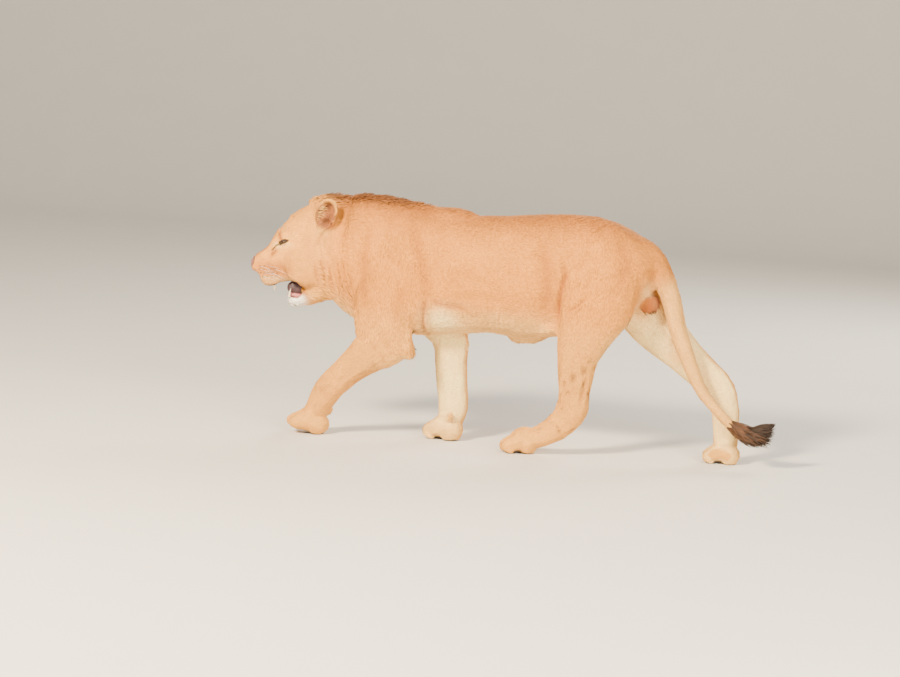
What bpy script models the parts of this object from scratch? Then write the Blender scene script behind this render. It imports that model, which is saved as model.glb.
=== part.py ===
"""Young male lion at a walk: the solids of a still, life-size model.

The lion walks towards -X with its left side towards -Y, and its soles rest on the floor, z = 0.
The body, the head and each paw are first built whole, from tubes and ellipsoids that a voxel
remesh fuses and a few smoothing passes soften.  Flat cuts then part them where a person would
name the parts of a lion, with a hairline gap between neighbours.  All sizes are in metres.
"""

from math import cos, pi, radians, sin

import bmesh
import bpy
from mathutils import Matrix, Vector

# ---------------------------------------------------------------- driving sizes
GAP = 0.0004  # hairline between neighbouring solids

BODY_GRAIN = 0.009  # voxel sizes of the remesh
HEAD_GRAIN = 0.0045
PAW_GRAIN = 0.0045

BODY_TRIANGLES = 2200
HEAD_TRIANGLES = 1000
EAR_TRIANGLES = 230
PAW_TRIANGLES = 400
TAIL_TRIANGLES = 400
SCROTUM_TRIANGLES = 160

EYE_RADIUS = 0.0178
LID = 0.004  # thickness of the eyelids
EYE_SEAT = (-0.012, 0.0555, 0.003)  # forward, to the side and above the point between the eyes

# The head's own frame: forward, left, up, from the point between the eyes.
HEAD_PLACE = Vector((-0.989, -0.034, 0.770))
HEAD_YAW = radians(14)  # towards the lion's left

# Head sections in that frame: forward, top, bottom, half width.
FACE = (
    (-0.290, 0.150, -0.120, 0.100),
    (-0.215, 0.160, -0.130, 0.092),
    (-0.150, 0.170, -0.155, 0.094),
    (-0.090, 0.150, -0.170, 0.092),
    (-0.040, 0.122, -0.165, 0.084),
    (0.000, 0.090, -0.168, 0.072),
    (0.030, 0.048, -0.176, 0.062),
    (0.058, -0.012, -0.180, 0.056),
    (0.085, -0.038, -0.158, 0.051),
    (0.108, -0.053, -0.128, 0.042),
    (0.122, -0.074, -0.118, 0.031),
)

# Tubes of the head in its frame: forward, side, up, half width, half depth.
JAW = (
    (-0.190, 0, -0.150, 0.070, 0.075),
    (-0.130, 0, -0.202, 0.058, 0.054),
    (-0.080, 0, -0.231, 0.043, 0.032),
    (-0.046, 0, -0.236, 0.034, 0.025),
    (-0.028, 0, -0.234, 0.026, 0.018),
)
THROAT = (
    (-0.140, 0, -0.130, 0.085, 0.090),
    (-0.200, 0, -0.120, 0.100, 0.120),
    (-0.280, 0, -0.080, 0.110, 0.160),
)
NAPE_CREST = (
    (-0.105, 0, 0.146, 0.026, 0.024),
    (-0.135, 0, 0.160, 0.034, 0.036),
    (-0.200, 0, 0.166, 0.038, 0.038),
    (-0.280, 0, 0.172, 0.038, 0.038),
)

# The mouth's opening, a slot from side to side: forward, side, up, half width, half height.
MOUTH = (
    (-0.080, 0, -0.194, 0.120, 0.014),
    (-0.066, 0, -0.196, 0.120, 0.030),
    (-0.040, 0, -0.192, 0.120, 0.033),
    (-0.004, 0, -0.199, 0.120, 0.027),
    (0.040, 0, -0.215, 0.120, 0.031),
    (0.110, 0, -0.230, 0.120, 0.034),
)

# The head ends, and the neck begins, at a plane behind the ears and the jaw.
NAPE = Vector((-0.226, 0, 0.0))  # a point of it in the head's frame
NAPE_RUN = Vector((-1, 0, -0.18))  # and the way to the neck

# The ear in the head's frame: its middle, the way it opens, the way it stands, half sizes.
EAR_PLACE = (-0.172, 0.098, 0.118)
EAR_OPENING = Vector((0.42, 0.88, 0.10))
EAR_UPWARD = Vector((-0.24, 0.10, 0.95))
EAR_SIZE = (0.052, 0.036, 0.070)
EAR_WALL = 0.010
EAR_RIM = 0.32  # how far past its middle the cup reaches, as a share of its depth

# Cuts that part the body, in turn: name, a point of the cut, the way inward, and how far the
# piece may reach: along that way, across and deep.
CUTS = (
    ("tail_root", (0.572, 0, 0.712), (0.36, 0, -0.93), (0.32, 0.098, 0.104)),
    ("foreleg_left", (-0.56, -0.13, 0.415), (-0.35, 0, -1), (0.60, 0.24, 0.46)),
    ("foreleg_right", (-0.31, 0.12, 0.415), (0.0, 0, -1), (0.60, 0.22, 0.24)),
    ("hindleg_left", (0.305, -0.12, 0.440), (-0.1, 0, -1), (0.60, 0.19, 0.34)),
    ("hindleg_right", (0.54, 0.13, 0.535), (0.55, 0, -1), (0.70, 0.24, 0.40)),
    ("neck", (-0.640, 0, 0.72), (-1, 0, 0.10), (0.50, 0.60, 0.90)),
    ("shoulders", (-0.210, 0, 0.70), (-1, 0, 0), (0.60, 0.80, 0.80)),
    ("hindquarters", (0.190, 0, 0.70), (1, 0, 0), (0.60, 0.80, 0.90)),
)
TAIL_CUTS = (
    ("tail_tuft", (0.900, 0, 0.149), (1, 0, -0.25), (0.40, 0.30, 0.30)),
    ("tail_tip", (0.744, 0, 0.297), (0.62, 0, -0.78), (0.40, 0.30, 0.30)),
)
TAIL_RUN = Vector((0.36, 0, -0.93))  # which way the tail runs where it leaves the body
TAIL_SPACE = (0.60, 0.30, 1.10)  # as much as the whole free tail takes

# Trunk sections from chest to rump: x, top, bottom, half width.
TRUNK = (
    (-0.650, 0.890, 0.490, 0.100),
    (-0.570, 0.930, 0.445, 0.130),
    (-0.460, 0.945, 0.425, 0.150),
    (-0.340, 0.930, 0.430, 0.160),
    (-0.220, 0.926, 0.443, 0.166),
    (-0.100, 0.930, 0.454, 0.171),
    (0.020, 0.942, 0.440, 0.170),
    (0.120, 0.950, 0.454, 0.160),
    (0.220, 0.954, 0.484, 0.146),
    (0.310, 0.948, 0.505, 0.142),
    (0.400, 0.922, 0.535, 0.134),
    (0.470, 0.882, 0.585, 0.112),
    (0.530, 0.835, 0.660, 0.070),
)

# Neck sections from the head to the shoulders: x, y, top, bottom, half width.
NECK = (
    (-0.890, -0.016, 0.925, 0.630, 0.092),
    (-0.830, -0.008, 0.955, 0.572, 0.104),
    (-0.765, -0.004, 0.968, 0.527, 0.114),
    (-0.695, 0.000, 0.973, 0.484, 0.122),
    (-0.610, 0.000, 0.971, 0.452, 0.132),
    (-0.510, 0.000, 0.962, 0.440, 0.138),
    (-0.410, 0.000, 0.946, 0.460, 0.120),
)

# The short crest of mane along the top of the neck: x, y, z, half width, half height.
CREST = (
    (-0.870, -0.016, 0.930, 0.030, 0.036),
    (-0.765, -0.004, 0.948, 0.034, 0.038),
    (-0.640, 0.000, 0.952, 0.036, 0.038),
    (-0.515, 0.000, 0.943, 0.036, 0.038),
    (-0.425, 0.000, 0.926, 0.032, 0.036),
    (-0.335, 0.000, 0.905, 0.026, 0.030),
)

# Tail from its root: x, y, z, half thickness.
TAIL = (
    (0.430, 0.000, 0.850, 0.052),
    (0.505, 0.000, 0.812, 0.051),
    (0.558, 0.000, 0.748, 0.047),
    (0.603, -0.002, 0.640, 0.042),
    (0.645, -0.010, 0.503, 0.036),
    (0.696, -0.020, 0.387, 0.031),
    (0.744, -0.028, 0.297, 0.026),
    (0.803, -0.034, 0.229, 0.022),
    (0.863, -0.036, 0.173, 0.021),
    (0.911, -0.036, 0.142, 0.022),
)
TUFT = (
    (0.887, -0.036, 0.155, 0.020),
    (0.932, -0.036, 0.134, 0.038),
    (0.982, -0.036, 0.136, 0.052),
    (1.027, -0.036, 0.153, 0.042),
    (1.069, -0.036, 0.178, 0.012),
)
TAIL_JOINT = 4  # the row where the root ends and the free tail begins
TAIL_ROOM = (0.16, 0.088, 0.14)  # what the body leaves free there: along the tail, across, deep

# Legs from the body down: x, y, z, half width across, half depth fore and aft.
LEFT_FORELEG = (
    (-0.455, -0.068, 0.800, 0.042, 0.080),
    (-0.500, -0.090, 0.695, 0.062, 0.115),
    (-0.540, -0.104, 0.590, 0.070, 0.125),
    (-0.535, -0.111, 0.490, 0.066, 0.125),
    (-0.530, -0.112, 0.405, 0.059, 0.112),
    (-0.585, -0.107, 0.356, 0.054, 0.088),
    (-0.645, -0.099, 0.303, 0.050, 0.071),
    (-0.700, -0.090, 0.252, 0.047, 0.064),
    (-0.752, -0.082, 0.203, 0.046, 0.062),
    (-0.790, -0.074, 0.150, 0.046, 0.058),
    (-0.815, -0.068, 0.100, 0.045, 0.050),
)
RIGHT_FORELEG = (
    (-0.480, 0.068, 0.800, 0.042, 0.080),
    (-0.480, 0.090, 0.695, 0.062, 0.115),
    (-0.450, 0.104, 0.590, 0.070, 0.118),
    (-0.370, 0.110, 0.500, 0.066, 0.105),
    (-0.313, 0.108, 0.410, 0.056, 0.080),
    (-0.302, 0.102, 0.320, 0.052, 0.069),
    (-0.292, 0.094, 0.230, 0.049, 0.067),
    (-0.280, 0.086, 0.155, 0.047, 0.064),
    (-0.282, 0.078, 0.100, 0.047, 0.057),
    (-0.292, 0.070, 0.055, 0.045, 0.048),
)
LEFT_HINDLEG = (
    (0.360, -0.066, 0.795, 0.068, 0.130),
    (0.340, -0.088, 0.705, 0.077, 0.155),
    (0.317, -0.100, 0.605, 0.074, 0.158),
    (0.288, -0.108, 0.505, 0.064, 0.124),
    (0.264, -0.109, 0.405, 0.053, 0.088),
    (0.258, -0.107, 0.325, 0.047, 0.076),
    (0.255, -0.105, 0.255, 0.043, 0.066),
    (0.250, -0.104, 0.192, 0.042, 0.068),
    (0.207, -0.104, 0.127, 0.041, 0.058),
    (0.140, -0.104, 0.080, 0.043, 0.048),
    (0.080, -0.104, 0.054, 0.043, 0.041),
)
RIGHT_HINDLEG = (
    (0.390, 0.066, 0.795, 0.068, 0.125),
    (0.420, 0.088, 0.705, 0.077, 0.135),
    (0.462, 0.099, 0.620, 0.073, 0.130),
    (0.532, 0.102, 0.522, 0.062, 0.108),
    (0.640, 0.098, 0.422, 0.052, 0.080),
    (0.725, 0.090, 0.352, 0.046, 0.072),
    (0.800, 0.080, 0.290, 0.043, 0.066),
    (0.828, 0.072, 0.220, 0.041, 0.058),
    (0.838, 0.064, 0.140, 0.041, 0.053),
    (0.842, 0.056, 0.065, 0.043, 0.048),
)

# Each paw: its leg's rows, place on the floor, heading (0 is -X, positive towards +Y),
# nose-down pitch, size against a forepaw, and whether it has a dewclaw.
PAWS = {
    "forepaw_left": (LEFT_FORELEG, (-0.848, -0.062, 0.002), 0, -12, 1.14, True),
    "forepaw_right": (RIGHT_FORELEG, (-0.301, 0.066, -0.003), -32, 0, 1.14, True),
    "hindpaw_left": (LEFT_HINDLEG, (0.050, -0.104, -0.003), 0, 0, 1.00, False),
    "hindpaw_right": (RIGHT_HINDLEG, (0.836, 0.046, -0.003), -18, 0, 1.00, False),
}

# name: (base colour, roughness)
FINISHES = {
    "coat": ((0.66, 0.40, 0.22, 1), 0.8),
    "pale": ((0.80, 0.58, 0.36, 1), 0.8),
    "mane": ((0.42, 0.22, 0.10, 1), 0.85),
    "tuft": ((0.06, 0.03, 0.02, 1), 0.9),
    "leather": ((0.30, 0.14, 0.10, 1), 0.5),
    "eye": ((0.45, 0.22, 0.05, 1), 0.1),
    "tongue": ((0.55, 0.20, 0.20, 1), 0.4),
    "ivory": ((0.80, 0.74, 0.60, 1), 0.3),
    "scrotum": ((0.50, 0.18, 0.05, 1), 0.8),
}


# ---------------------------------------------------------------- scene helpers
def clear_scene():
    for obj in list(bpy.data.objects):
        bpy.data.objects.remove(obj, do_unlink=True)


def make_collection(name):
    collection = bpy.data.collections.new(name)
    bpy.context.scene.collection.children.link(collection)
    return collection


def make_material(name, colour, roughness):
    material = bpy.data.materials.new(name)
    material.use_nodes = True
    shader = material.node_tree.nodes["Principled BSDF"]
    shader.inputs["Base Color"].default_value = colour
    shader.inputs["Roughness"].default_value = roughness
    return material


def make_object(name, bm, collection):
    """Put a bmesh into a new object and free it."""
    mesh = bpy.data.meshes.new(name)
    bm.to_mesh(mesh)
    bm.free()
    obj = bpy.data.objects.new(name, mesh)
    collection.objects.link(obj)
    return obj


def bake(obj):
    """Apply an object's modifiers."""
    graph = bpy.context.evaluated_depsgraph_get()
    mesh = bpy.data.meshes.new_from_object(obj.evaluated_get(graph))
    obj.modifiers.clear()
    old, obj.data = obj.data, mesh
    bpy.data.meshes.remove(old)
    return obj


# ---------------------------------------------------------------- basic shapes
def smooth_rows(rows, steps=4):
    """Rows of numbers along Catmull-Rom curves through the given rows."""
    rows = [Vector(row) for row in rows]
    ends = [2 * rows[0] - rows[1]] + rows + [2 * rows[-1] - rows[-2]]
    result = []
    for a, b, c, d in zip(ends, ends[1:], ends[2:], ends[3:]):
        for step in range(steps):
            t = step / steps
            result.append(
                b + 0.5 * t * ((c - a) + t * (2 * a - 5 * b + 4 * c - d + t * (3 * (b - c) + d - a)))
            )
    return result + [rows[-1]]


def tube(bm, rows, sides=24, power=2.0, frame=Matrix(), steps=4, upright=False):
    """A closed tube through superelliptic sections: x, y, z, half width, half depth.

    The width lies along Y as nearly as the tube's own run allows; upright sections stay vertical.
    """
    rows = smooth_rows(rows, steps)
    centres = [Vector(row[:3]) for row in rows]
    rings = []
    for index, row in enumerate(rows):
        ahead = centres[min(index + 1, len(rows) - 1)]
        behind = centres[max(index - 1, 0)]
        run = Vector((1, 0, 0)) if upright else (ahead - behind).normalized()
        across = (Vector((0, 1, 0)) - run * run.y).normalized()
        deep = run.cross(across)
        ring = []
        for side in range(sides):
            angle = 2 * pi * side / sides
            u = abs(cos(angle)) ** (2 / power) * (1 if cos(angle) > 0 else -1)
            v = abs(sin(angle)) ** (2 / power) * (1 if sin(angle) > 0 else -1)
            spot = centres[index] + across * (u * row[3]) + deep * (v * row[4])
            ring.append(bm.verts.new(frame @ spot))
        rings.append(ring)
    for lower, upper in zip(rings, rings[1:]):
        for side in range(sides):
            turn = (side + 1) % sides
            bm.faces.new((lower[side], lower[turn], upper[turn], upper[side]))
    bm.faces.new(rings[0][::-1])
    bm.faces.new(rings[-1])


def round_tube(bm, rows, frame=Matrix()):
    """A tube of circular sections: x, y, z, radius."""
    tube(bm, [(x, y, z, radius, radius) for x, y, z, radius in rows], frame=frame)


def barrel(bm, rows, power=2.2, frame=Matrix()):
    """A tube along X of upright sections given by x, y, top, bottom and half width."""
    sections = [(x, y, (top + low) / 2, wide, (top - low) / 2) for x, y, top, low, wide in rows]
    tube(bm, sections, 32, power, frame, upright=True)


def ball(bm, centre, radii, pitch=0.0, yaw=0.0, frame=Matrix(), segments=24):
    """An ellipsoid; pitch turns it about Y and yaw about Z, in degrees."""
    place = (
        frame
        @ Matrix.Translation(centre)
        @ Matrix.Rotation(radians(yaw), 4, "Z")
        @ Matrix.Rotation(radians(pitch), 4, "Y")
        @ Matrix.Diagonal((*radii, 1))
    )
    rings = segments * 5 // 8
    bmesh.ops.create_uvsphere(bm, u_segments=segments, v_segments=rings, radius=1, matrix=place)


def fuse(name, bm, grain, triangles, smoothing, collection):
    """Fuse overlapping closed shapes into one smooth skin of about so many triangles."""
    bmesh.ops.recalc_face_normals(bm, faces=bm.faces)
    obj = make_object(name, bm, collection)
    remesh = obj.modifiers.new("Fuse", "REMESH")
    remesh.mode = "VOXEL"
    remesh.voxel_size = grain
    soften = obj.modifiers.new("Soften", "SMOOTH")
    soften.factor = 0.5
    soften.iterations = smoothing
    bake(obj)
    obj.data.calc_loop_triangles()
    thin = obj.modifiers.new("Thin", "DECIMATE")
    thin.ratio = min(1.0, triangles / len(obj.data.loop_triangles))
    return bake(obj)


# ---------------------------------------------------------------- cutting
def keep_largest(bm):
    """Drop the crumbs that a cut leaves: every island of vertices but the largest."""
    left = set(bm.verts)
    islands = []
    while left:
        island = {left.pop()}
        edge = list(island)
        while edge:
            vert = edge.pop()
            for link in vert.link_edges:
                other = link.other_vert(vert)
                if other in left:
                    left.remove(other)
                    island.add(other)
                    edge.append(other)
        islands.append(list(island))
    islands.sort(key=len)
    for island in islands[:-1]:
        bmesh.ops.delete(bm, geom=island, context="VERTS")


def boolean(obj, cutter, operation):
    cut = obj.modifiers.new("Cut", "BOOLEAN")
    cut.solver = "EXACT"
    cut.operation = operation
    cut.object = cutter
    bake(obj)
    bm = bmesh.new()
    bm.from_mesh(obj.data)
    bmesh.ops.remove_doubles(bm, verts=bm.verts, dist=1e-6)
    keep_largest(bm)
    bm.to_mesh(obj.data)
    bm.free()


def as_cutter(obj):
    obj.hide_render = True
    obj.display_type = "WIRE"
    return obj


def region(name, point, inward, size, collection, grow=0.0):
    """A box that starts at a point of the cut and runs inward: depth, width, height.

    The width lies level across the inward direction.
    """
    inward = Vector(inward).normalized()
    level = Vector((0, 0, 1)).cross(inward)
    level = level.normalized() if level.length > 1e-3 else Vector((0, 1, 0))
    turn = Matrix((inward, level, inward.cross(level))).transposed().to_4x4()
    depth, width, height = size
    bm = bmesh.new()
    place = (
        Matrix.Translation(Vector(point))
        @ turn
        @ Matrix.Translation((depth / 2, 0, 0))
        @ Matrix.Diagonal((depth + 2 * grow, width + 2 * grow, height + 2 * grow, 1))
    )
    bmesh.ops.create_cube(bm, size=1, matrix=place)
    return as_cutter(make_object(name + "_region", bm, collection))


def take(source, name, point, inward, size, parts, cutters):
    """Cut the piece inside a region out of a solid, and leave a hairline between the two."""
    piece = bpy.data.objects.new(name, source.data.copy())
    parts.objects.link(piece)
    boolean(piece, region(name, point, inward, size, cutters), "INTERSECT")
    boolean(source, region(name + "_room", point, inward, size, cutters, GAP), "DIFFERENCE")
    return piece


# ---------------------------------------------------------------- body
def build_body(cutters):
    """Trunk, neck, crest, upper legs, tail and what hangs between the hind legs."""
    bm = bmesh.new()
    barrel(bm, [(x, 0, top, low, wide) for x, top, low, wide in TRUNK])
    barrel(bm, NECK, power=2.0)
    tube(bm, CREST)
    round_tube(bm, TAIL[:TAIL_JOINT + 2])
    for leg in (LEFT_FORELEG, RIGHT_FORELEG, LEFT_HINDLEG, RIGHT_HINDLEG):
        tube(bm, leg[:-1], power=2.2)
    for side in (-1, 1):
        ball(bm, (-0.480, side * 0.086, 0.710), (0.125, 0.056, 0.165), pitch=12)  # shoulder blade
        ball(bm, (-0.580, side * 0.086, 0.575), (0.085, 0.064, 0.105))  # point of the shoulder
        ball(bm, (0.292, side * 0.086, 0.765), (0.150, 0.060, 0.130), pitch=-10)  # haunch
        ball(bm, (0.440, side * 0.058, 0.752), (0.085, 0.054, 0.115), pitch=-15)  # seat
    ball(bm, (-0.432, -0.115, 0.385), (0.036, 0.040, 0.052), pitch=-20)  # elbow of the left foreleg
    ball(bm, (-0.625, 0, 0.550), (0.085, 0.088, 0.105))  # breast
    ball(bm, (0.035, 0, 0.452), (0.085, 0.045, 0.034), pitch=-6)  # sheath under the belly
    ball(bm, (0.145, 0, 0.504), (0.100, 0.120, 0.045), pitch=-12)  # groin
    ball(bm, (-0.315, 0, 0.922), (0.120, 0.070, 0.030))  # withers
    return fuse("body", bm, BODY_GRAIN, BODY_TRIANGLES, 14, cutters)


def build_tail(parts, cutters):
    """The free tail and its tuft, and where they meet the root."""
    bm = bmesh.new()
    round_tube(bm, TAIL[TAIL_JOINT - 1:])
    round_tube(bm, TUFT)
    tail = fuse("tail", bm, PAW_GRAIN, TAIL_TRIANGLES, 4, cutters)
    start = Vector(TAIL[TAIL_JOINT][:3])
    pieces = {}
    joint = region("tail_joint", start, TAIL_RUN, TAIL_SPACE, cutters)
    boolean(tail, joint, "INTERSECT")
    for name, point, inward, size in TAIL_CUTS:
        pieces[name] = take(tail, name, point, inward, size, parts, cutters)
    middle = bpy.data.objects.new("tail_middle", tail.data.copy())
    parts.objects.link(middle)
    pieces["tail_middle"] = middle
    bpy.data.objects.remove(tail)
    return pieces, region("tail_room", start, TAIL_RUN, TAIL_ROOM, cutters, GAP)


def cut_body(body, parts, cutters):
    """Part the body: legs first, then the trunk into three."""
    pieces, tail_room = build_tail(parts, cutters)
    boolean(body, tail_room, "DIFFERENCE")
    for name, point, inward, size in CUTS:
        pieces[name] = take(body, name, point, inward, size, parts, cutters)
    belly = bpy.data.objects.new("belly", body.data.copy())
    parts.objects.link(belly)
    pieces["belly"] = belly
    bpy.data.objects.remove(body)
    return pieces


# ---------------------------------------------------------------- paws
def build_paw(name, rows, place, heading, pitch, size, dewclaw, cutters):
    """One paw with its four toes and pads, on the lower end of its leg."""
    frame = (
        Matrix.Translation(place)
        @ Matrix.Rotation(pi + radians(heading), 4, "Z")
        @ Matrix.Rotation(radians(pitch), 4, "Y")
        @ Matrix.Diagonal((size, size, size, 1))
    )
    bm = bmesh.new()
    tube(bm, rows[-5:], power=2.2)
    ball(bm, (-0.016, 0, 0.042), (0.056, 0.049, 0.043), frame=frame)  # palm
    ball(bm, (-0.026, 0, 0.014), (0.034, 0.038, 0.017), frame=frame)  # palm pad
    ball(bm, (0.020, 0, 0.022), (0.040, 0.043, 0.020), frame=frame)  # between the pads
    ball(bm, (0.000, 0, 0.072), (0.052, 0.042, 0.034), 32, 0, frame)  # instep
    for toe in (-1.5, -0.5, 0.5, 1.5):
        across = 0.0285 * toe
        reach = 0.046 if abs(toe) < 1 else 0.028
        splay = 7 * toe
        ball(bm, (reach - 0.016, across, 0.046), (0.042, 0.0195, 0.030), 16, splay, frame)
        ball(bm, (reach + 0.014, across * 1.06, 0.031), (0.026, 0.0188, 0.028), 0, splay, frame)
        ball(bm, (reach + 0.004, across * 1.05, 0.011), (0.018, 0.0130, 0.012), 0, splay, frame)
    if dewclaw:
        inner = 1 if place[1] < 0 else -1  # towards the other foreleg
        ball(bm, (-0.048, -inner * 0.031, 0.092), (0.016, 0.013, 0.022), -20, 0, frame)
    return fuse(name, bm, PAW_GRAIN, PAW_TRIANGLES, 3, cutters)


def build_paws(pieces, parts, cutters):
    """Swap the end of each leg for its paw, flat where it meets the floor."""
    floor = region("floor", (0, 0, 0), (0, 0, -1), (0.2, 4, 4), cutters)
    for name, (rows, place, heading, pitch, size, dewclaw) in PAWS.items():
        whole = build_paw(name + "_whole", rows, place, heading, pitch, size, dewclaw, cutters)
        top = Vector(rows[-3][:3])
        run = (Vector(rows[-2][:3]) - top).normalized()
        box = (0.40, 0.30, 0.30)
        paw = take(whole, name, top, run, box, parts, cutters)
        boolean(paw, floor, "DIFFERENCE")
        pieces[name] = paw
        leg = pieces[name.replace("forepaw", "foreleg").replace("hindpaw", "hindleg")]
        boolean(leg, region(name + "_joint", top, run, box, cutters, GAP), "DIFFERENCE")
        bpy.data.objects.remove(whole)


# ---------------------------------------------------------------- head
def head_frame():
    """From forward, left, up to the world."""
    forward = Vector((-cos(HEAD_YAW), -sin(HEAD_YAW), 0))
    up = Vector((0, 0, 1))
    turn = Matrix((forward, up.cross(forward), up)).transposed().to_4x4()
    return Matrix.Translation(HEAD_PLACE) @ turn


def build_head(frame, cutters):
    """Skull, muzzle, jaws and ears, in the head's own frame."""
    bm = bmesh.new()
    barrel(bm, [(forward, 0, *section) for forward, *section in FACE], 2.1, frame)
    for rows in (JAW, THROAT, NAPE_CREST):
        tube(bm, rows, frame=frame)
    ball(bm, (0.104, 0, -0.092), (0.024, 0.034, 0.030), frame=frame)  # nose
    for side in (-1, 1):
        mirrored = frame @ Matrix.Diagonal((1, side, 1, 1))
        ball(bm, (0.044, 0.034, -0.139), (0.047, 0.032, 0.045), 0, 0, mirrored)  # whisker pad
        ball(bm, (0.106, 0.023, -0.106), (0.019, 0.015, 0.018), 0, 0, mirrored)  # wing of the nose
        ball(bm, (-0.105, 0.048, -0.072), (0.112, 0.062, 0.108), 18, 0, mirrored)  # cheek
        ball(bm, (-0.058, 0.062, -0.026), (0.062, 0.026, 0.024), 28, -24, mirrored)  # cheek bone
        ball(bm, (-0.016, 0.044, 0.036), (0.034, 0.028, 0.015), 35, -30, mirrored)  # brow
        ball(bm, EYE_SEAT, [EYE_RADIUS + LID] * 3, 0, 0, mirrored)  # eyelids
        ball(bm, (-0.195, 0.052, -0.060), (0.090, 0.066, 0.150), 0, 0, mirrored)  # ruff
    return fuse("skull", bm, HEAD_GRAIN, HEAD_TRIANGLES, 10, cutters)


def build_ear(name, frame, parts):
    """A round cupped ear: half an egg of skin, open outwards and a little forwards."""
    opening = EAR_OPENING.normalized()
    upward = (EAR_UPWARD - opening * EAR_UPWARD.dot(opening)).normalized()
    turn = Matrix((opening.cross(upward), opening, upward)).transposed().to_4x4()
    cup = bmesh.new()
    bmesh.ops.create_uvsphere(cup, u_segments=28, v_segments=18, radius=1)
    bmesh.ops.delete(cup, geom=[v for v in cup.verts if v.co.y > EAR_RIM], context="VERTS")
    across, deep, tall = EAR_SIZE
    for vert in cup.verts:
        narrow = 0.86 + 0.14 * vert.co.z
        vert.co = Vector((vert.co.x * across * narrow, vert.co.y * deep, vert.co.z * tall))
    bmesh.ops.solidify(cup, geom=cup.faces, thickness=EAR_WALL)
    cup.transform(frame @ Matrix.Translation(EAR_PLACE) @ turn)
    ball(cup, (-0.166, 0.076, 0.062), (0.042, 0.030, 0.042), 0, 0, frame)  # its root
    return fuse(name, cup, PAW_GRAIN, EAR_TRIANGLES, 3, parts)


def build_mouth(head, frame, cutters):
    """Open the mouth: a slot through the muzzle, higher in the middle than at its corner."""
    bm = bmesh.new()
    tube(bm, MOUTH, 16, 4.0, frame, steps=2)
    bmesh.ops.recalc_face_normals(bm, faces=bm.faces)
    boolean(head, as_cutter(make_object("mouth", bm, cutters)), "DIFFERENCE")


def round_solid(name, centre, radii, pitch, frame, collection, yaw=0):
    bm = bmesh.new()
    ball(bm, centre, radii, pitch, yaw, frame, segments=12)
    bmesh.ops.recalc_face_normals(bm, faces=bm.faces)
    return make_object(name, bm, collection)


def build_tooth(name, root, length, radius, lean, frame, collection):
    """A canine: a cone that curves back a little; a negative length points down."""
    rows = [
        (root[0] - lean * t * t, root[1], root[2] + length * t, radius * (1 - 0.85 * t ** 1.5))
        for t in (0.0, 0.35, 0.7, 1.0)
    ]
    bm = bmesh.new()
    tube(bm, [(x, y, z, r, r) for x, y, z, r in rows], sides=8, frame=frame, steps=1)
    bmesh.ops.recalc_face_normals(bm, faces=bm.faces)
    return make_object(name, bm, collection)


def cut_head(head, frame, parts, cutters):
    """Part the head: eyes, nose, ears, jaw, then what the mouth shows."""
    pieces = {}
    turn = frame.to_3x3()
    for side, word in ((1, "left"), (-1, "right")):
        forward, out, up = EYE_SEAT
        seat = (forward, side * out, up)
        look = Vector((0.66, side * 0.75, 0)) * (EYE_RADIUS + LID)
        slit = round_solid(
            "slit_" + word,
            Vector(seat) + look,
            (0.008, 0.0150, 0.0055),
            0,
            frame,
            cutters,
            yaw=side * 48,
        )
        boolean(head, as_cutter(slit), "DIFFERENCE")
        room = round_solid("socket_" + word, seat, [EYE_RADIUS + GAP] * 3, 0, frame, cutters)
        boolean(head, as_cutter(room), "DIFFERENCE")
        pieces["eye_" + word] = round_solid("eye_" + word, seat, [EYE_RADIUS] * 3, 0, frame, parts)
        ear = build_ear("ear_" + word, frame @ Matrix.Diagonal((1, side, 1, 1)), parts)
        fit_into(ear, head)
        pieces[ear.name] = ear
    pieces["nose"] = take(
        head,
        "nose",
        frame @ Vector((0.100, 0, -0.098)),
        turn @ Vector((1, 0, -0.25)),
        (0.06, 0.10, 0.075),
        parts,
        cutters,
    )
    pieces["jaw"] = take(
        head,
        "jaw",
        frame @ Vector((-0.092, 0, -0.235)),
        turn @ Vector((1, 0, -0.45)),
        (0.16, 0.20, 0.105),
        parts,
        cutters,
    )
    return pieces


def fit_into(piece, host):
    """Give a piece its room in a host solid: the host loses the piece grown by the gap."""
    bm = bmesh.new()
    bm.from_mesh(piece.data)
    bm.normal_update()
    for vert in bm.verts:
        vert.co += vert.normal * GAP
    room = make_object(piece.name + "_room", bm, piece.users_collection[0])
    boolean(host, room, "DIFFERENCE")
    bpy.data.objects.remove(room)


def build_scrotum(pieces, parts, cutters):
    """What hangs behind the thighs, in its own room."""
    bm = bmesh.new()
    for side in (-1, 1):
        ball(bm, (0.512, side * 0.021, 0.620), (0.044, 0.028, 0.038))
    ball(bm, (0.498, 0, 0.652), (0.030, 0.032, 0.030))
    obj = fuse("scrotum_whole", bm, PAW_GRAIN, SCROTUM_TRIANGLES, 3, cutters)
    scrotum = bpy.data.objects.new("scrotum", obj.data.copy())
    parts.objects.link(scrotum)
    bpy.data.objects.remove(obj)
    for host in ("hindquarters", "tail_root"):
        fit_into(scrotum, pieces[host])
    pieces["scrotum"] = scrotum


def build_mouth_parts(pieces, frame, parts):
    """Tongue and the four canines."""
    tongue = round_solid("tongue", (-0.066, 0, -0.217), (0.045, 0.0165, 0.011), -8, frame, parts)
    pieces["tongue"] = tongue
    fit_into(tongue, pieces["jaw"])
    fit_into(tongue, pieces["head"])
    for side, word in ((1, "left"), (-1, "right")):
        lower = build_tooth(
            "lower_canine_" + word, (-0.036, side * 0.0235, -0.222), 0.034, 0.0060, 0.004, frame, parts
        )
        upper = build_tooth(
            "upper_canine_" + word, (0.030, side * 0.022, -0.160), -0.040, 0.0075, 0.008, frame, parts
        )
        fit_into(lower, pieces["jaw"])
        fit_into(upper, pieces["head"])
        pieces[lower.name] = lower
        pieces[upper.name] = upper


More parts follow.
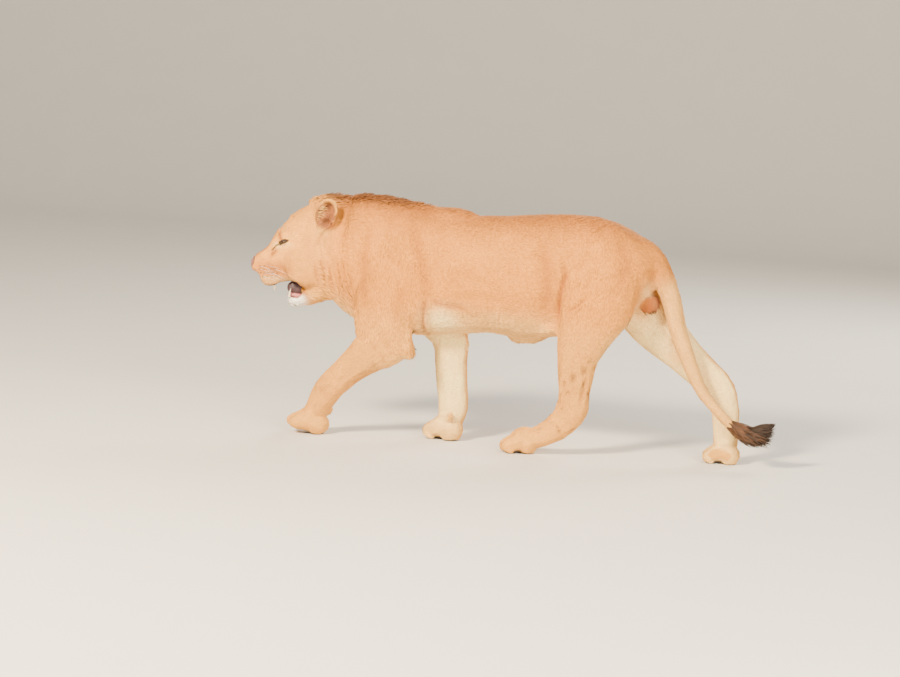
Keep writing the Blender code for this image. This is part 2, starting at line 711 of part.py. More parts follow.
# ---------------------------------------------------------------- the whole lion
def finish_of(name):
    for word, finish in (
        ("eye", "eye"),
        ("nose", "leather"),
        ("tongue", "tongue"),
        ("canine", "ivory"),
        ("tuft", "tuft"),
        ("scrotum", "scrotum"),
        ("belly", "pale"),
        ("jaw", "pale"),
    ):
        if word in name:
            return finish
    return "coat"


def stand_on_origin(objects):
    """Move the lion so that the middle of its footprint is the origin."""
    corners = [obj.matrix_world @ vert.co for obj in objects for vert in obj.data.vertices]
    middle_x = (min(c.x for c in corners) + max(c.x for c in corners)) / 2
    middle_y = (min(c.y for c in corners) + max(c.y for c in corners)) / 2
    low = min(c.z for c in corners)
    for obj in objects:
        obj.data.transform(Matrix.Translation((-middle_x, -middle_y, -low)))


def main():
    clear_scene()
    parts = make_collection("lion")
    cutters = make_collection("cutters")
    frame = head_frame()

    body = build_body(cutters)
    head = build_head(frame, cutters)
    build_mouth(head, frame, cutters)

    nape = frame @ NAPE
    backward = frame.to_3x3() @ NAPE_RUN
    pieces = {}
    pieces.update(cut_head(head, frame, parts, cutters))
    skull = bpy.data.objects.new("head", head.data.copy())
    parts.objects.link(skull)
    bpy.data.objects.remove(head)
    behind = region("behind_head", nape, backward, (0.30, 0.60, 0.80), cutters)
    before = region("before_neck", nape, -backward, (0.40, 0.60, 0.56), cutters, GAP)
    boolean(skull, behind, "DIFFERENCE")
    boolean(body, before, "DIFFERENCE")
    pieces["head"] = skull
    build_mouth_parts(pieces, frame, parts)

    pieces.update(cut_body(body, parts, cutters))
    build_scrotum(pieces, parts, cutters)
    build_paws(pieces, parts, cutters)

    for name, obj in pieces.items():
        obj.data.materials.clear()
        obj.data.materials.append(make_material(name, *FINISHES[finish_of(name)]))
        obj.data.shade_smooth()
        obj.data.set_sharp_from_angle(angle=radians(50))
    stand_on_origin(list(pieces.values()))
    for cutter in list(cutters.objects):
        as_cutter(cutter)


main()
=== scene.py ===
"""A young male lion at a walk: the looks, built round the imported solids.

The module is laid out as an add-on: each group of pieces has an operator, and the sizes and
colours that a user would change are properties of the scene.  main() runs them in order.
"""

import math

import bmesh
import bpy
import numpy as np
from mathutils import Matrix, Vector, kdtree


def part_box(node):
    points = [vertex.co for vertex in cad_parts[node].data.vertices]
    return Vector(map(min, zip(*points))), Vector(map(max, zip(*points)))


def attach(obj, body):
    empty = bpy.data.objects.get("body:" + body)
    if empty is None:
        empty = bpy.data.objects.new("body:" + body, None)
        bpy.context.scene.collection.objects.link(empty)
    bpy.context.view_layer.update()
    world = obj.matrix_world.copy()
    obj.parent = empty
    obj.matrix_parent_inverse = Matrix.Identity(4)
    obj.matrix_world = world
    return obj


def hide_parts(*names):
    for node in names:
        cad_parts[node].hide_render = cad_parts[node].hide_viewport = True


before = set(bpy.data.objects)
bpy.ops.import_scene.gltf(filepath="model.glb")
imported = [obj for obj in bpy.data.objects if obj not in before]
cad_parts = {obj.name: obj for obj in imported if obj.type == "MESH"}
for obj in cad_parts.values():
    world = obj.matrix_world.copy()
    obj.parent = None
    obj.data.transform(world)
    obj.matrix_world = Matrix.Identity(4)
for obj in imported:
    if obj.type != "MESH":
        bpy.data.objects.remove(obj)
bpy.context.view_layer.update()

bl_info = {
    "name": "Walking lion",
    "version": (1, 0, 0),
    "blender": (4, 5, 0),
    "location": "View3D > Sidebar > Lion",
    "description": "Skin, coat, mane, eyes and mouth of a life-size young lion",
    "category": "Object",
}

# ---------------------------------------------------------------- sizes, in metres
SEED = 11
SEAM_CLOSE = 0.0012  # each solid is swollen by this, so that the hairline gaps close
SKIN_GRAIN = 0.003  # voxel size of the skin
SKIN_TRIANGLES = 186000  # what thin_skin aims at: about 307,000 are left
SKIN_GAP = 0.0006  # no skin lies lower above the floor
FLOOR_GAP = 0.0004  # no hair reaches lower
MERGE_GAP = 0.00002  # corners closer than this are one
LABEL_SAMPLES = 12000  # to a square metre of solid, to tell which part a place is on
PATCH = 0.0015  # half of a tuft's patch on its colour map

HARD_NODES = ("eye", "tongue", "canine", "tail_tuft")  # not part of the skin

# Where the eyes sit from the point between them: forward, to the side, up
EYE_SEAT = (-0.012, 0.0555, 0.003)
EYE_OPEN = 1.02  # half the lids' opening along the eye, as an angle in radians
EYE_TALL = 0.24  # and across it, at its middle
IRIS_EDGE = 0.66  # the iris and the pupil as angles from the gaze, in radians
PUPIL_EDGE = 0.235
CORNEA_BULGE = 0.035
LID_ABOVE = 0.0016  # the lids' skin over the eyeball

# The mouth's opening in the head's frame: forward, lower edge, upper edge
MOUTH = np.array((
    (-0.082, -0.205, -0.186),
    (-0.066, -0.226, -0.166),
    (-0.040, -0.225, -0.159),
    (-0.004, -0.226, -0.172),
    (0.040, -0.246, -0.184),
    (0.110, -0.264, -0.196),
))

# The flesh at the back of the mouth, a wet gum coloured dark as painted shade inside the mouth, in
# the head's frame: its middle and half sizes
LINING = (-0.064, 0.0, -0.186)
LINING_RADII = (0.042, 0.014, 0.032)

# The lines that the hair follows, each from where it starts to where it points.
LIE = {
    "bridge": ((-1.075, -0.056, 0.700), (-1.000, -0.040, 0.760), (-0.930, -0.024, 0.860),
               (-0.840, -0.008, 0.920), (-0.700, 0.000, 0.900), (-0.500, 0.000, 0.860),
               (-0.200, 0.000, 0.820), (0.200, 0.000, 0.820), (0.400, 0.000, 0.800),
               (0.560, 0.000, 0.740), (0.630, -0.005, 0.600)),
    "throat": ((-0.960, -0.035, 0.530), (-0.860, -0.015, 0.560), (-0.760, 0.000, 0.580),
               (-0.640, 0.000, 0.480), (-0.500, 0.000, 0.460), (-0.200, 0.000, 0.480),
               (0.150, 0.000, 0.520), (0.400, 0.000, 0.600)),
    "muzzle left": ((-1.055, -0.085, 0.640), (-0.950, -0.100, 0.640), (-0.850, -0.105, 0.690),
                    (-0.760, -0.105, 0.690), (-0.620, -0.110, 0.620)),
    "muzzle right": ((-1.075, -0.030, 0.640), (-0.990, 0.030, 0.640), (-0.900, 0.075, 0.690),
                     (-0.790, 0.100, 0.690), (-0.640, 0.110, 0.620)),
    "foreleg left": ((-0.450, -0.085, 0.780), (-0.520, -0.104, 0.590), (-0.512, -0.111, 0.430),
                     (-0.565, -0.107, 0.356), (-0.680, -0.090, 0.252), (-0.770, -0.074, 0.150),
                     (-0.830, -0.066, 0.070), (-0.910, -0.062, 0.020)),
    "foreleg right": ((-0.460, 0.085, 0.780), (-0.430, 0.104, 0.590), (-0.295, 0.108, 0.410),
                      (-0.280, 0.098, 0.260), (-0.262, 0.080, 0.120), (-0.285, 0.066, 0.050),
                      (-0.360, 0.020, 0.020)),
    "hindleg left": ((0.360, -0.080, 0.780), (0.330, -0.100, 0.605), (0.283, -0.109, 0.405),
                     (0.275, -0.105, 0.255), (0.262, -0.104, 0.160), (0.160, -0.104, 0.080),
                     (0.000, -0.104, 0.020)),
    "hindleg right": ((0.410, 0.080, 0.780), (0.480, 0.099, 0.620), (0.660, 0.098, 0.422),
                      (0.820, 0.080, 0.290), (0.850, 0.066, 0.170), (0.855, 0.056, 0.070),
                      (0.790, 0.030, 0.020)),
    "tail": ((0.560, 0.000, 0.740), (0.622, -0.002, 0.640), (0.664, -0.010, 0.503),
             (0.715, -0.020, 0.387), (0.763, -0.028, 0.297), (0.822, -0.034, 0.229),
             (0.882, -0.036, 0.173), (0.930, -0.036, 0.142)),
}

# The tail's end inside its tuft: x, y, z, radius
TAIL_END = (
    (0.925, -0.036, 0.140, 0.017),
    (0.950, -0.036, 0.135, 0.015),
    (0.975, -0.036, 0.136, 0.013),
    (1.000, -0.036, 0.142, 0.010),
    (1.022, -0.036, 0.152, 0.007),
)

# A tuft stands for a bundle of hairs, as a single hair is too fine to show.
# What the coat does on each part: depth, length and width of a tuft, tufts per square metre
COATS = {
    "head": (0.0035, 0.0120, 0.0034, 100000),
    "nose": (0.0012, 0.0060, 0.0022, 160000),
    "jaw": (0.0035, 0.0110, 0.0030, 130000),
    "ear": (0.0006, 0.0090, 0.0024, 200000),
    "neck": (0.0070, 0.0220, 0.0050, 58000),
    "shoulders": (0.0065, 0.0180, 0.0050, 56000),
    "belly": (0.0065, 0.0180, 0.0050, 56000),
    "hindquarters": (0.0060, 0.0170, 0.0050, 56000),
    "foreleg": (0.0045, 0.0130, 0.0040, 76000),
    "hindleg": (0.0045, 0.0130, 0.0040, 76000),
    "forepaw": (0.0028, 0.0065, 0.0026, 130000),
    "hindpaw": (0.0028, 0.0065, 0.0026, 130000),
    "tail": (0.0045, 0.0150, 0.0038, 90000),
    "scrotum": (0.0025, 0.0090, 0.0030, 120000),
}

PART_ORDER = list(COATS)

# The plane where the head's solid ends, in the head's frame: forward, and its slope
NAPE = (-0.226, 0.18)
NAPE_LEAN = 1.02  # a gap forward from the leaning plane against the gap square to it
NAPE_BAND = 0.042  # how far the smoothing of that join reaches
NAPE_PASSES = 320
PAW_PASSES = 50  # of smoothing over the join of each paw

BODY_PASSES = 45  # of smoothing over the whole skin, each a step in and a step out
STEP_IN = 0.55
STEP_OUT = 0.57
# How far each part takes those steps, as a share of the body's
SOFTENING = {"head": 0.80, "nose": 0.50, "jaw": 0.40, "ear": 0.10, "forepaw": 0.45,
             "hindpaw": 0.45, "tail": 0.35, "scrotum": 0.50, "foreleg": 0.70, "hindleg": 0.70}

# Folds and muscles of the flanks: side (-1 left, 1 right, 0 both), depth, width, x and z points.
# A negative depth is a groove; grooves deeper than 3.5 mm are also darkened as painted shade in
# coat_colour.
FLANK_FOLDS = (
    (-1, -0.012, 0.013, ((-0.335, 0.600), (-0.350, 0.545), (-0.360, 0.480), (-0.366, 0.420))),
    (1, -0.012, 0.013, ((-0.235, 0.600), (-0.215, 0.545), (-0.205, 0.470))),
    (0, -0.006, 0.016, ((-0.335, 0.590), (-0.270, 0.572), (-0.160, 0.560))),
    (-1, -0.011, 0.012, ((0.212, 0.780), (0.220, 0.720), (0.205, 0.650), (0.197, 0.590),
                         (0.190, 0.520))),
    (1, -0.011, 0.012, ((0.262, 0.780), (0.275, 0.720), (0.290, 0.650), (0.325, 0.580))),
    (0, -0.006, 0.009, ((0.240, 0.580), (0.285, 0.612), (0.322, 0.652))),
    (0, -0.005, 0.028, ((-0.585, 0.880), (-0.605, 0.760), (-0.600, 0.640), (-0.570, 0.540))),
    (0, -0.005, 0.032, ((-0.420, 0.890), (-0.375, 0.780), (-0.340, 0.660), (-0.335, 0.590))),
    (0, 0.005, 0.030, ((-0.500, 0.900), (-0.520, 0.760), (-0.540, 0.620))),
    (0, -0.004, 0.020, ((-0.420, 0.640), (-0.450, 0.560), (-0.440, 0.480))),
    (0, 0.005, 0.020, ((-0.385, 0.480), (-0.395, 0.420), (-0.410, 0.370))),
    (0, -0.006, 0.035, ((0.100, 0.860), (0.140, 0.760), (0.150, 0.650), (0.130, 0.550))),
    (0, 0.006, 0.030, ((0.300, 0.900), (0.340, 0.870))),
    (0, -0.005, 0.030, ((0.420, 0.880), (0.450, 0.780), (0.440, 0.680))),
    (0, -0.003, 0.020, ((-0.250, 0.700), (-0.150, 0.680), (-0.050, 0.660))),
    (0, -0.003, 0.020, ((-0.200, 0.620), (-0.080, 0.600), (0.020, 0.590))),
    (-1, -0.004, 0.007, ((-0.742, 0.760), (-0.738, 0.690), (-0.722, 0.620), (-0.690, 0.560))),
    (-1, -0.004, 0.006, ((-0.722, 0.740), (-0.716, 0.680), (-0.700, 0.610), (-0.668, 0.545))),
    (-1, -0.004, 0.007, ((-0.700, 0.740), (-0.690, 0.670), (-0.672, 0.600), (-0.640, 0.520))),
    (-1, -0.003, 0.007, ((-0.672, 0.700), (-0.655, 0.620), (-0.630, 0.540), (-0.605, 0.480))),
    (1, -0.004, 0.007, ((-0.742, 0.740), (-0.730, 0.680), (-0.705, 0.600), (-0.670, 0.540))),
    (1, -0.004, 0.007, ((-0.705, 0.730), (-0.692, 0.660), (-0.665, 0.590), (-0.630, 0.520))),
    (-1, -0.004, 0.009, ((-0.505, 0.300), (-0.580, 0.262), (-0.660, 0.205))),
    (-1, -0.006, 0.008, ((0.330, 0.330), (0.318, 0.270), (0.306, 0.215))),
    (1, -0.006, 0.008, ((0.800, 0.400), (0.855, 0.330), (0.880, 0.270))),
    (-1, -0.003, 0.010, ((0.245, 0.330), (0.235, 0.260), (0.222, 0.200))),
)

# Each paw's place, heading and pitch in degrees, and size, as in the solids
PAWS = (
    ((-0.8286, -0.0617, 0.002), 0, -12, 1.14),
    ((-0.2816, 0.0663, -0.003), -32, 0, 1.14),
    ((0.0694, -0.1037, -0.003), 0, 0, 1.00),
    ((0.8554, 0.0463, -0.003), -18, 0, 1.00),
)
TOE_GAP = 0.0285  # between the middles of neighbouring toes
# The groove beside a toe and the ridge along it, forward and up in the paw's frame
TOE_LINE = ((0.006, 0.088), (0.030, 0.078), (0.054, 0.060), (0.074, 0.034), (0.072, 0.004))

# Folds of the face in the head's frame, on both sides: depth, width, then forward, side, up.
FACE_FOLDS = (
    (-0.0075, 0.010, ((0.024, 0.050, -0.010), (0.044, 0.050, -0.036), (0.062, 0.050, -0.060))),
    (0.0085, 0.011, ((0.024, 0.040, 0.020), (0.010, 0.052, 0.030), (-0.022, 0.064, 0.036),
                     (-0.050, 0.070, 0.034))),
    (-0.0030, 0.004, ((0.018, 0.048, 0.010), (0.000, 0.060, 0.020), (-0.028, 0.068, 0.022))),
    (-0.0025, 0.004, ((0.016, 0.050, -0.022), (-0.006, 0.062, -0.018), (-0.030, 0.068, -0.004))),
    (-0.0040, 0.010, ((0.030, 0.052, -0.070), (0.004, 0.062, -0.110), (-0.020, 0.066, -0.150),
                      (-0.060, 0.064, -0.160))),
    (0.0060, 0.016, ((0.075, 0.036, -0.095), (0.045, 0.046, -0.120), (0.015, 0.050, -0.140))),
    (0.0050, 0.010, ((0.100, 0.024, -0.054), (0.072, 0.030, -0.030), (0.040, 0.034, 0.018))),
    (-0.0045, 0.010, ((0.094, 0.042, -0.078), (0.074, 0.050, -0.076), (0.050, 0.052, -0.070))),
    (0.0045, 0.012, ((0.096, 0.030, -0.072), (0.084, 0.034, -0.066), (0.070, 0.038, -0.066))),
    (-0.0030, 0.008, ((0.012, 0.010, 0.070), (0.030, 0.006, 0.030))),
    (0.0050, 0.020, ((-0.020, 0.076, -0.050), (-0.070, 0.086, -0.070), (-0.110, 0.092, -0.100))),
    (-0.0070, 0.010, ((-0.150, 0.104, 0.010), (-0.177, 0.112, -0.066), (-0.172, 0.104, -0.150),
                      (-0.155, 0.078, -0.221))),
    (-0.0035, 0.006, ((-0.080, 0.050, -0.190), (-0.090, 0.056, -0.215), (-0.080, 0.050, -0.240))),
    (-0.0030, 0.012, ((-0.020, 0.030, 0.125), (-0.080, 0.024, 0.160))),
    (-0.0110, 0.042, ((0.030, 0.000, 0.050), (0.008, 0.000, 0.085), (-0.020, 0.000, 0.115))),
    (-0.0110, 0.011, ((0.110, 0.006, -0.142), (0.104, 0.010, -0.138), (0.096, 0.018, -0.134))),
    (-0.0050, 0.006, ((0.098, 0.041, -0.096), (0.092, 0.041, -0.112), (0.094, 0.032, -0.124))),
)
# Lines of the face darkened as painted shade of its creases and pressed into the skin: darkness,
# depth, width, (forward, up)
FACE_SHADE_LINES = (
    (0.90, 0.0045, 0.0075, ((0.016, 0.042), (0.011, 0.024), (0.008, 0.008))),
    (0.55, 0.0020, 0.0045, ((0.010, -0.015), (-0.004, -0.011), (-0.018, -0.003))),
    (0.75, 0.0030, 0.0080, ((0.018, -0.026), (0.034, -0.044), (0.050, -0.060))),
    (0.65, 0.0045, 0.0075, ((-0.150, -0.045), (-0.160, -0.090), (-0.172, -0.143))),
    (0.55, 0.0040, 0.0070, ((-0.132, -0.070), (-0.140, -0.115), (-0.148, -0.165))),
    (0.60, 0.0045, 0.0080, ((-0.182, -0.060), (-0.196, -0.120), (-0.212, -0.195))),
    (0.75, 0.0035, 0.0080, ((-0.078, -0.165), (-0.094, -0.205), (-0.112, -0.240))),
    (0.85, 0.0045, 0.0095, ((-0.208, 0.136), (-0.195, 0.084), (-0.161, 0.045), (-0.134, -0.004))),
    (0.35, 0.0000, 0.0080, ((0.060, -0.075), (0.052, -0.100), (0.022, -0.128))),
)
PHILTRUM = (-0.0040, 0.0028, ((0.124, 0.0, -0.118), (0.108, 0.0, -0.150), (0.080, 0.0, -0.180)))

# ---------------------------------------------------------------- colours, as sRGB hex
SAND = "D68A2C"
BACK = "A05C20"
PALE = "E8AC50"
CREAM = "FFDC92"
WHITE_HAIR = "F6F0E2"
MANE_BROWN = "6A3E20"
SHIN = "DE9E46"
SPOT = "6E4020"
FACE_TAN = "E8A244"
BRIDGE_TAN = "B0692C"
MUZZLE_TAN = "BE7834"
EAR_BACK = "2A211B"
EAR_INSIDE = "8A5030"
DARK_RIM = "2B1B15"
MOUTH_DARK = "2A1418"
PAD_DARK = "3A2A22"
SCROTUM_TAN = "9A4F1C"
TAIL_TAN = "E4AC5C"
EAR_FOLD_SHADE = "4A2A1C"
TUFT_DARK = "22160F"
TUFT_BROWN = "4A2F1D"
EYE_WHITE = "5A4436"
IRIS = "96652A"
IRIS_RIM = "4A3012"
IRIS_GLOW = "B98A40"
PUPIL = "050404"
NOSE_FRECKLE = "5E3F38"
NOSE_EDGE = "4A2E2A"
NOSTRIL_SHADE = "120A0A"
NOSE_SPLIT_SHADE = "2A1715"


def linear(code):
    """An sRGB hex colour as a linear one, with alpha."""
    parts = [int(code[i:i + 2], 16) / 255 for i in (0, 2, 4)]
    low = [p / 12.92 if p <= 0.04045 else ((p + 0.055) / 1.055) ** 2.4 for p in parts]
    return (*low, 1.0)


def shade(code):
    return np.array(linear(code)[:3])


# ---------------------------------------------------------------- small numeric tools
def ramp(value, start, end):
    """0 before start, 1 after end, smooth between them."""
    t = np.clip((value - start) / (end - start), 0, 1)
    return t * t * (3 - 2 * t)


def unit(rows):
    return rows / np.maximum(np.linalg.norm(rows, axis=-1, keepdims=True), 1e-9)


def mixed(first, second, share):
    return first + (second - first) * share[:, None]


def tinted(colour, code, share):
    """The colours, each drawn towards an sRGB hex one by its share."""
    return mixed(colour, shade(code), share)


def laid_flat(ways, normals):
    """Directions without the part of them that leaves the skin."""
    return unit(ways - normals * np.sum(ways * normals, axis=-1, keepdims=True))


def noise(place, scale, seed):
    """Smooth value noise from 0 to 1, with one lump to each scale metres."""
    grid = place / scale + seed * 17.31
    cell = np.floor(grid).astype(np.int64)
    part = grid - cell
    part = part * part * (3 - 2 * part)
    total = np.zeros(len(place))
    for corner in range(8):
        step = np.array(((corner >> 2) & 1, (corner >> 1) & 1, corner & 1))
        key = (cell + step) @ np.array((73856093, 19349663, 83492791))
        key = (key ^ (key >> 13)) * 1274126177
        value = ((key ^ (key >> 16)) & 0xFFFF) / 65535
        weight = np.prod(np.where(step, part, 1 - part), axis=1)
        total += value * weight
    return total


def line_gap(place, points):
    """How far each place is from a line of points, and how far along it, from 0 to 1."""
    points = np.array(points, float)
    steps = np.diff(points, axis=0)
    lengths = np.linalg.norm(steps, axis=1)
    before = np.concatenate(((0,), np.cumsum(lengths)))
    best = np.full(len(place), 1e9)
    along = np.zeros(len(place))
    for index, step in enumerate(steps):
        t = np.clip((place - points[index]) @ step / lengths[index] ** 2, 0, 1)
        gap = np.linalg.norm(place - points[index] - t[:, None] * step, axis=1)
        near = gap < best
        best[near] = gap[near]
        along[near] = (before[index] + t[near] * lengths[index]) / before[-1]
    return best, along


def face_shade_lines(f, side, u, column):
    """The lines of the face, either how dark their painted shade is (column 0) or how deep (column
    1) they are.
    """
    share = np.zeros(len(f))
    near = np.flatnonzero((f > -0.24) & (u > -0.27) & (side > 0.024))
    place = np.stack((f, u), 1)[near]
    for row in FACE_SHADE_LINES:
        share[near] = np.maximum(share[near], stroke(place, row[3], row[column], row[2]))
    return share


def stroke(place, points, depth, width):
    """A fold or ridge along a line, dying out at its ends."""
    gap, along = line_gap(place, points)
    ends = ramp(along, -0.01, 0.25) * (1 - ramp(along, 0.75, 1.01)) * 0.75 + 0.25
    return depth * np.exp(-((gap / width) ** 2)) * ends


def stroke_near(place, near, points, depth, width):
    """A stroke that is worked out only for the places near it, and is nothing elsewhere."""
    change = np.zeros(len(place))
    change[near] = stroke(place[near], points, depth, width)
    return change


# ---------------------------------------------------------------- the head's own frame
def box_middle(node):
    low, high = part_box(node)
    return np.array((low + high) / 2)


EYE_LEFT = box_middle("eye_left")
EYE_RIGHT = box_middle("eye_right")
LEFTWARD = unit(EYE_LEFT - EYE_RIGHT)
UPWARD = np.array((0.0, 0.0, 1.0))
FORWARD = np.cross(LEFTWARD, UPWARD)
AXES = np.array((FORWARD, LEFTWARD, UPWARD))
HEAD_PLACE = (EYE_LEFT + EYE_RIGHT) / 2 - FORWARD * EYE_SEAT[0] - UPWARD * EYE_SEAT[2]
EYE_RADIUS = (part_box("eye_left")[1].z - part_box("eye_left")[0].z) / 2


def to_head(place):
    return (place - HEAD_PLACE) @ AXES.T


def from_head(place):
    return np.asarray(place, float) @ AXES + HEAD_PLACE


def from_side(way, side):
    """A direction from the left half of the head, turned to one side and out of its frame."""
    return (way * (1, side, 1)) @ AXES


def head_share(f, u):
    """1 on the head, falling to nothing over its join with the neck."""
    return ramp(f, -0.24, -0.15) * ramp(u, -0.33, -0.29)


def mouth_edges(f):
    """How high the lower and the upper edge of the mouth lie, this far forward."""
    return np.interp(f, MOUTH[:, 0], MOUTH[:, 1]), np.interp(f, MOUTH[:, 0], MOUTH[:, 2])


EAR_CENTRE = np.array((-0.172, 0.098, 0.118))
EAR_OPENING = unit(np.array((0.42, 0.88, 0.10)))
EAR_UP = np.array((-0.24, 0.10, 0.95))
EAR_UP = unit(EAR_UP - EAR_OPENING * (EAR_UP @ EAR_OPENING))
EAR_ACROSS = np.cross(EAR_OPENING, EAR_UP)


def to_ear(place, side):
    """Places in one ear's frame: across, outwards through its opening, up."""
    local = to_head(place) * (1, side, 1) - EAR_CENTRE
    return local @ np.array((EAR_ACROSS, EAR_OPENING, EAR_UP)).T


# ---------------------------------------------------------------- the markings
def coat_colour(place, facing, part):
    """The lion's colour at each place: skin and coat both take it from here.

    part is the share of each place that belongs to each named part."""
    x, y, z = place.T
    f, s, u = to_head(place).T
    side = np.abs(s)
    folded = np.stack((f, side, u), 1)
    head = head_share(f, u)
    inwards = -np.sign(y) * facing[:, 1]
    body_mottle = noise(place, 0.09, 1) - 0.5
    fine_mottle = noise(place, 0.022, 2) - 0.5

    # body: darker along the back, partly the coat's own darker back and partly painted shade on the
    # faces turned up, darker on the rump, paler below and between the legs
    back = 0.75 * ramp(z, 0.78, 0.95) * ramp(facing[:, 2], -0.1, 0.9)
    colour = tinted(shade(SAND), BACK, back)
    rump = ramp(x, 0.36, 0.58) * ramp(z, 0.56, 0.76)
    colour = tinted(colour, BACK, 0.38 * rump)
    trunk = 1 - ramp(z, 0.47, 0.60)
    colour = tinted(colour, PALE, 0.4 * trunk)
    colour = tinted(colour, SHIN, 0.6 * (1 - ramp(z, 0.30, 0.50)))
    inner = ramp(inwards, 0.05, 0.65) * (1 - ramp(z, 0.50, 0.66))
    colour = tinted(colour, CREAM, 0.92 * inner * (1 - head) * (1 - part["tail"]))
    under = ramp(-facing[:, 2], 0.15, 0.8) * ramp(z, 0.25, 0.40) * (1 - head)
    colour = tinted(colour, CREAM, 0.35 * under)
    armpit = np.exp(-(((x + 0.285) / 0.062) ** 2) - ((z - 0.505) / 0.050) ** 2)
    colour = tinted(colour, CREAM, 0.85 * np.clip(1.4 * armpit, 0, 1) * ramp(-y, 0.0, 0.03))
    behind = np.maximum(ramp(facing[:, 0], 0.35, 0.85), ramp(inwards, 0.0, 0.5))
    buttock = behind * ramp(x, 0.50, 0.54) * ramp(z, 0.40, 0.50) * (1 - ramp(z, 0.64, 0.74))
    colour = tinted(colour, CREAM, 0.8 * buttock * (1 - part["tail"]))

    # faint cub spots that a young lion keeps low on its legs and belly
    spots = ramp(noise(place, 0.013, 5), 0.74, 0.80)
    spots = spots * (1 - ramp(z, 0.36, 0.50)) * ramp(z, 0.06, 0.12)
    spots = spots * (0.35 + 0.65 * (ramp(x, 0.10, 0.20) * (1 - ramp(x, 0.45, 0.60))))
    colour = tinted(colour, SPOT, 0.75 * spots * (1 - inner) * (1 - head))

    # paws: paler toes, dark pads
    paw = np.clip(part["forepaw"] + part["hindpaw"], 0, 1)
    colour = tinted(colour, PALE, 0.5 * paw * (1 - ramp(z, 0.04, 0.12)))
    pad = paw * ramp(-facing[:, 2], 0.55, 0.85) * (1 - ramp(z, 0.010, 0.022))
    colour = tinted(colour, PAD_DARK, pad)

    # tail
    colour = tinted(colour, TAIL_TAN, 0.85 * part["tail"])
    colour = tinted(colour, TUFT_BROWN, part["tail"] * ramp(x, 0.865, 0.935))
    colour = tinted(colour, SCROTUM_TAN, 0.9 * part["scrotum"])

    # face
    colour = tinted(colour, FACE_TAN, 0.8 * head)
    bridge = head * (1 - ramp(side, 0.016, 0.034)) * ramp(f, -0.02, 0.05) * ramp(u, -0.11, -0.07)
    colour = tinted(colour, BRIDGE_TAN, 0.8 * bridge)
    muzzle = head * ramp(f, -0.05, 0.01) * (1 - ramp(u, -0.100, -0.055)) * ramp(side, 0.006, 0.02)
    colour = tinted(colour, MUZZLE_TAN, 0.85 * muzzle)
    lip = head * ramp(f, -0.08, -0.02) * (1 - ramp(u, -0.150, -0.125))
    colour = tinted(colour, CREAM, 0.30 * lip)
    chin = head * ramp(f, -0.13, -0.07) * (1 - ramp(u, -0.225, -0.200))
    colour = tinted(colour, WHITE_HAIR, 0.95 * chin)
    throat = head * (1 - ramp(u, -0.21, -0.15)) * (1 - ramp(f, -0.13, -0.08))
    colour = tinted(colour, PALE, 0.5 * throat)
    eye_gap, _ = line_gap(
        folded, ((0.020, 0.052, -0.008), (-0.005, 0.066, 0.004), (-0.026, 0.070, 0.010)))
    under_eye = np.exp(-((eye_gap / 0.020) ** 2)) * (1 - ramp(u, -0.012, 0.006))
    colour = tinted(colour, CREAM, 0.7 * head * under_eye)
    above_eye = np.exp(-((eye_gap / 0.022) ** 2)) * ramp(u, 0.008, 0.022)
    colour = tinted(colour, PALE, 0.5 * head * above_eye)
    for centre, hand in ((EYE_LEFT, 1), (EYE_RIGHT, -1)):
        opened, distance, _, ahead = eye_opening(place, centre, hand)
        close = 1 - ramp(distance, EYE_RADIUS + 0.008, EYE_RADIUS + 0.014)
        close = close * ramp(ahead, 0.1, 0.4)
        pale = close * ramp(opened, -0.80, -0.42) * (1 - ramp(opened, -0.36, -0.28))
        colour = tinted(colour, CREAM, 0.5 * pale * (1 - ramp(u, 0.000, 0.012)))
        colour = tinted(colour, DARK_RIM, 0.95 * close * ramp(opened, -0.38, -0.27))
    corner, along = line_gap(
        folded, ((0.014, 0.057, -0.008), (0.028, 0.048, -0.018), (0.044, 0.041, -0.034)))
    tear = 1 - ramp(corner + 0.0015 * along, 0.0034, 0.0060)
    colour = tinted(colour, DARK_RIM, 0.85 * head * tear)
    outer, _ = line_gap(folded, ((-0.024, 0.070, 0.011), (-0.036, 0.071, 0.014)))
    colour = tinted(colour, DARK_RIM, 0.75 * head * (1 - ramp(outer, 0.0024, 0.0050)))
    pad = nose_pad(f, side, u)
    colour = tinted(colour, DARK_RIM, 0.9 * head * ramp(pad, -0.0008, 0.0008))
    colour = tinted(colour, DARK_RIM, 0.75 * head * whisker_spots(f, side, u))

    # the short mane: a brown strip from between the ears to the withers
    crest = (1 - ramp(np.abs(y), 0.020, 0.058)) * ramp(z, 0.925, 0.955)
    crest = crest * ramp(x, -0.87, -0.81) * (1 - ramp(x, -0.50, -0.30))
    colour = tinted(colour, MANE_BROWN, 0.85 * crest)

    # mouth: dark lips, darker inside
    low_edge, high_edge = mouth_edges(f)
    inside = head * ramp(u, low_edge - 0.004, low_edge + 0.001)
    inside = inside * (1 - ramp(u, high_edge + 0.009, high_edge + 0.013))
    inside = inside * ramp(f, -0.084, -0.079)
    colour = tinted(colour, MOUTH_DARK, inside)
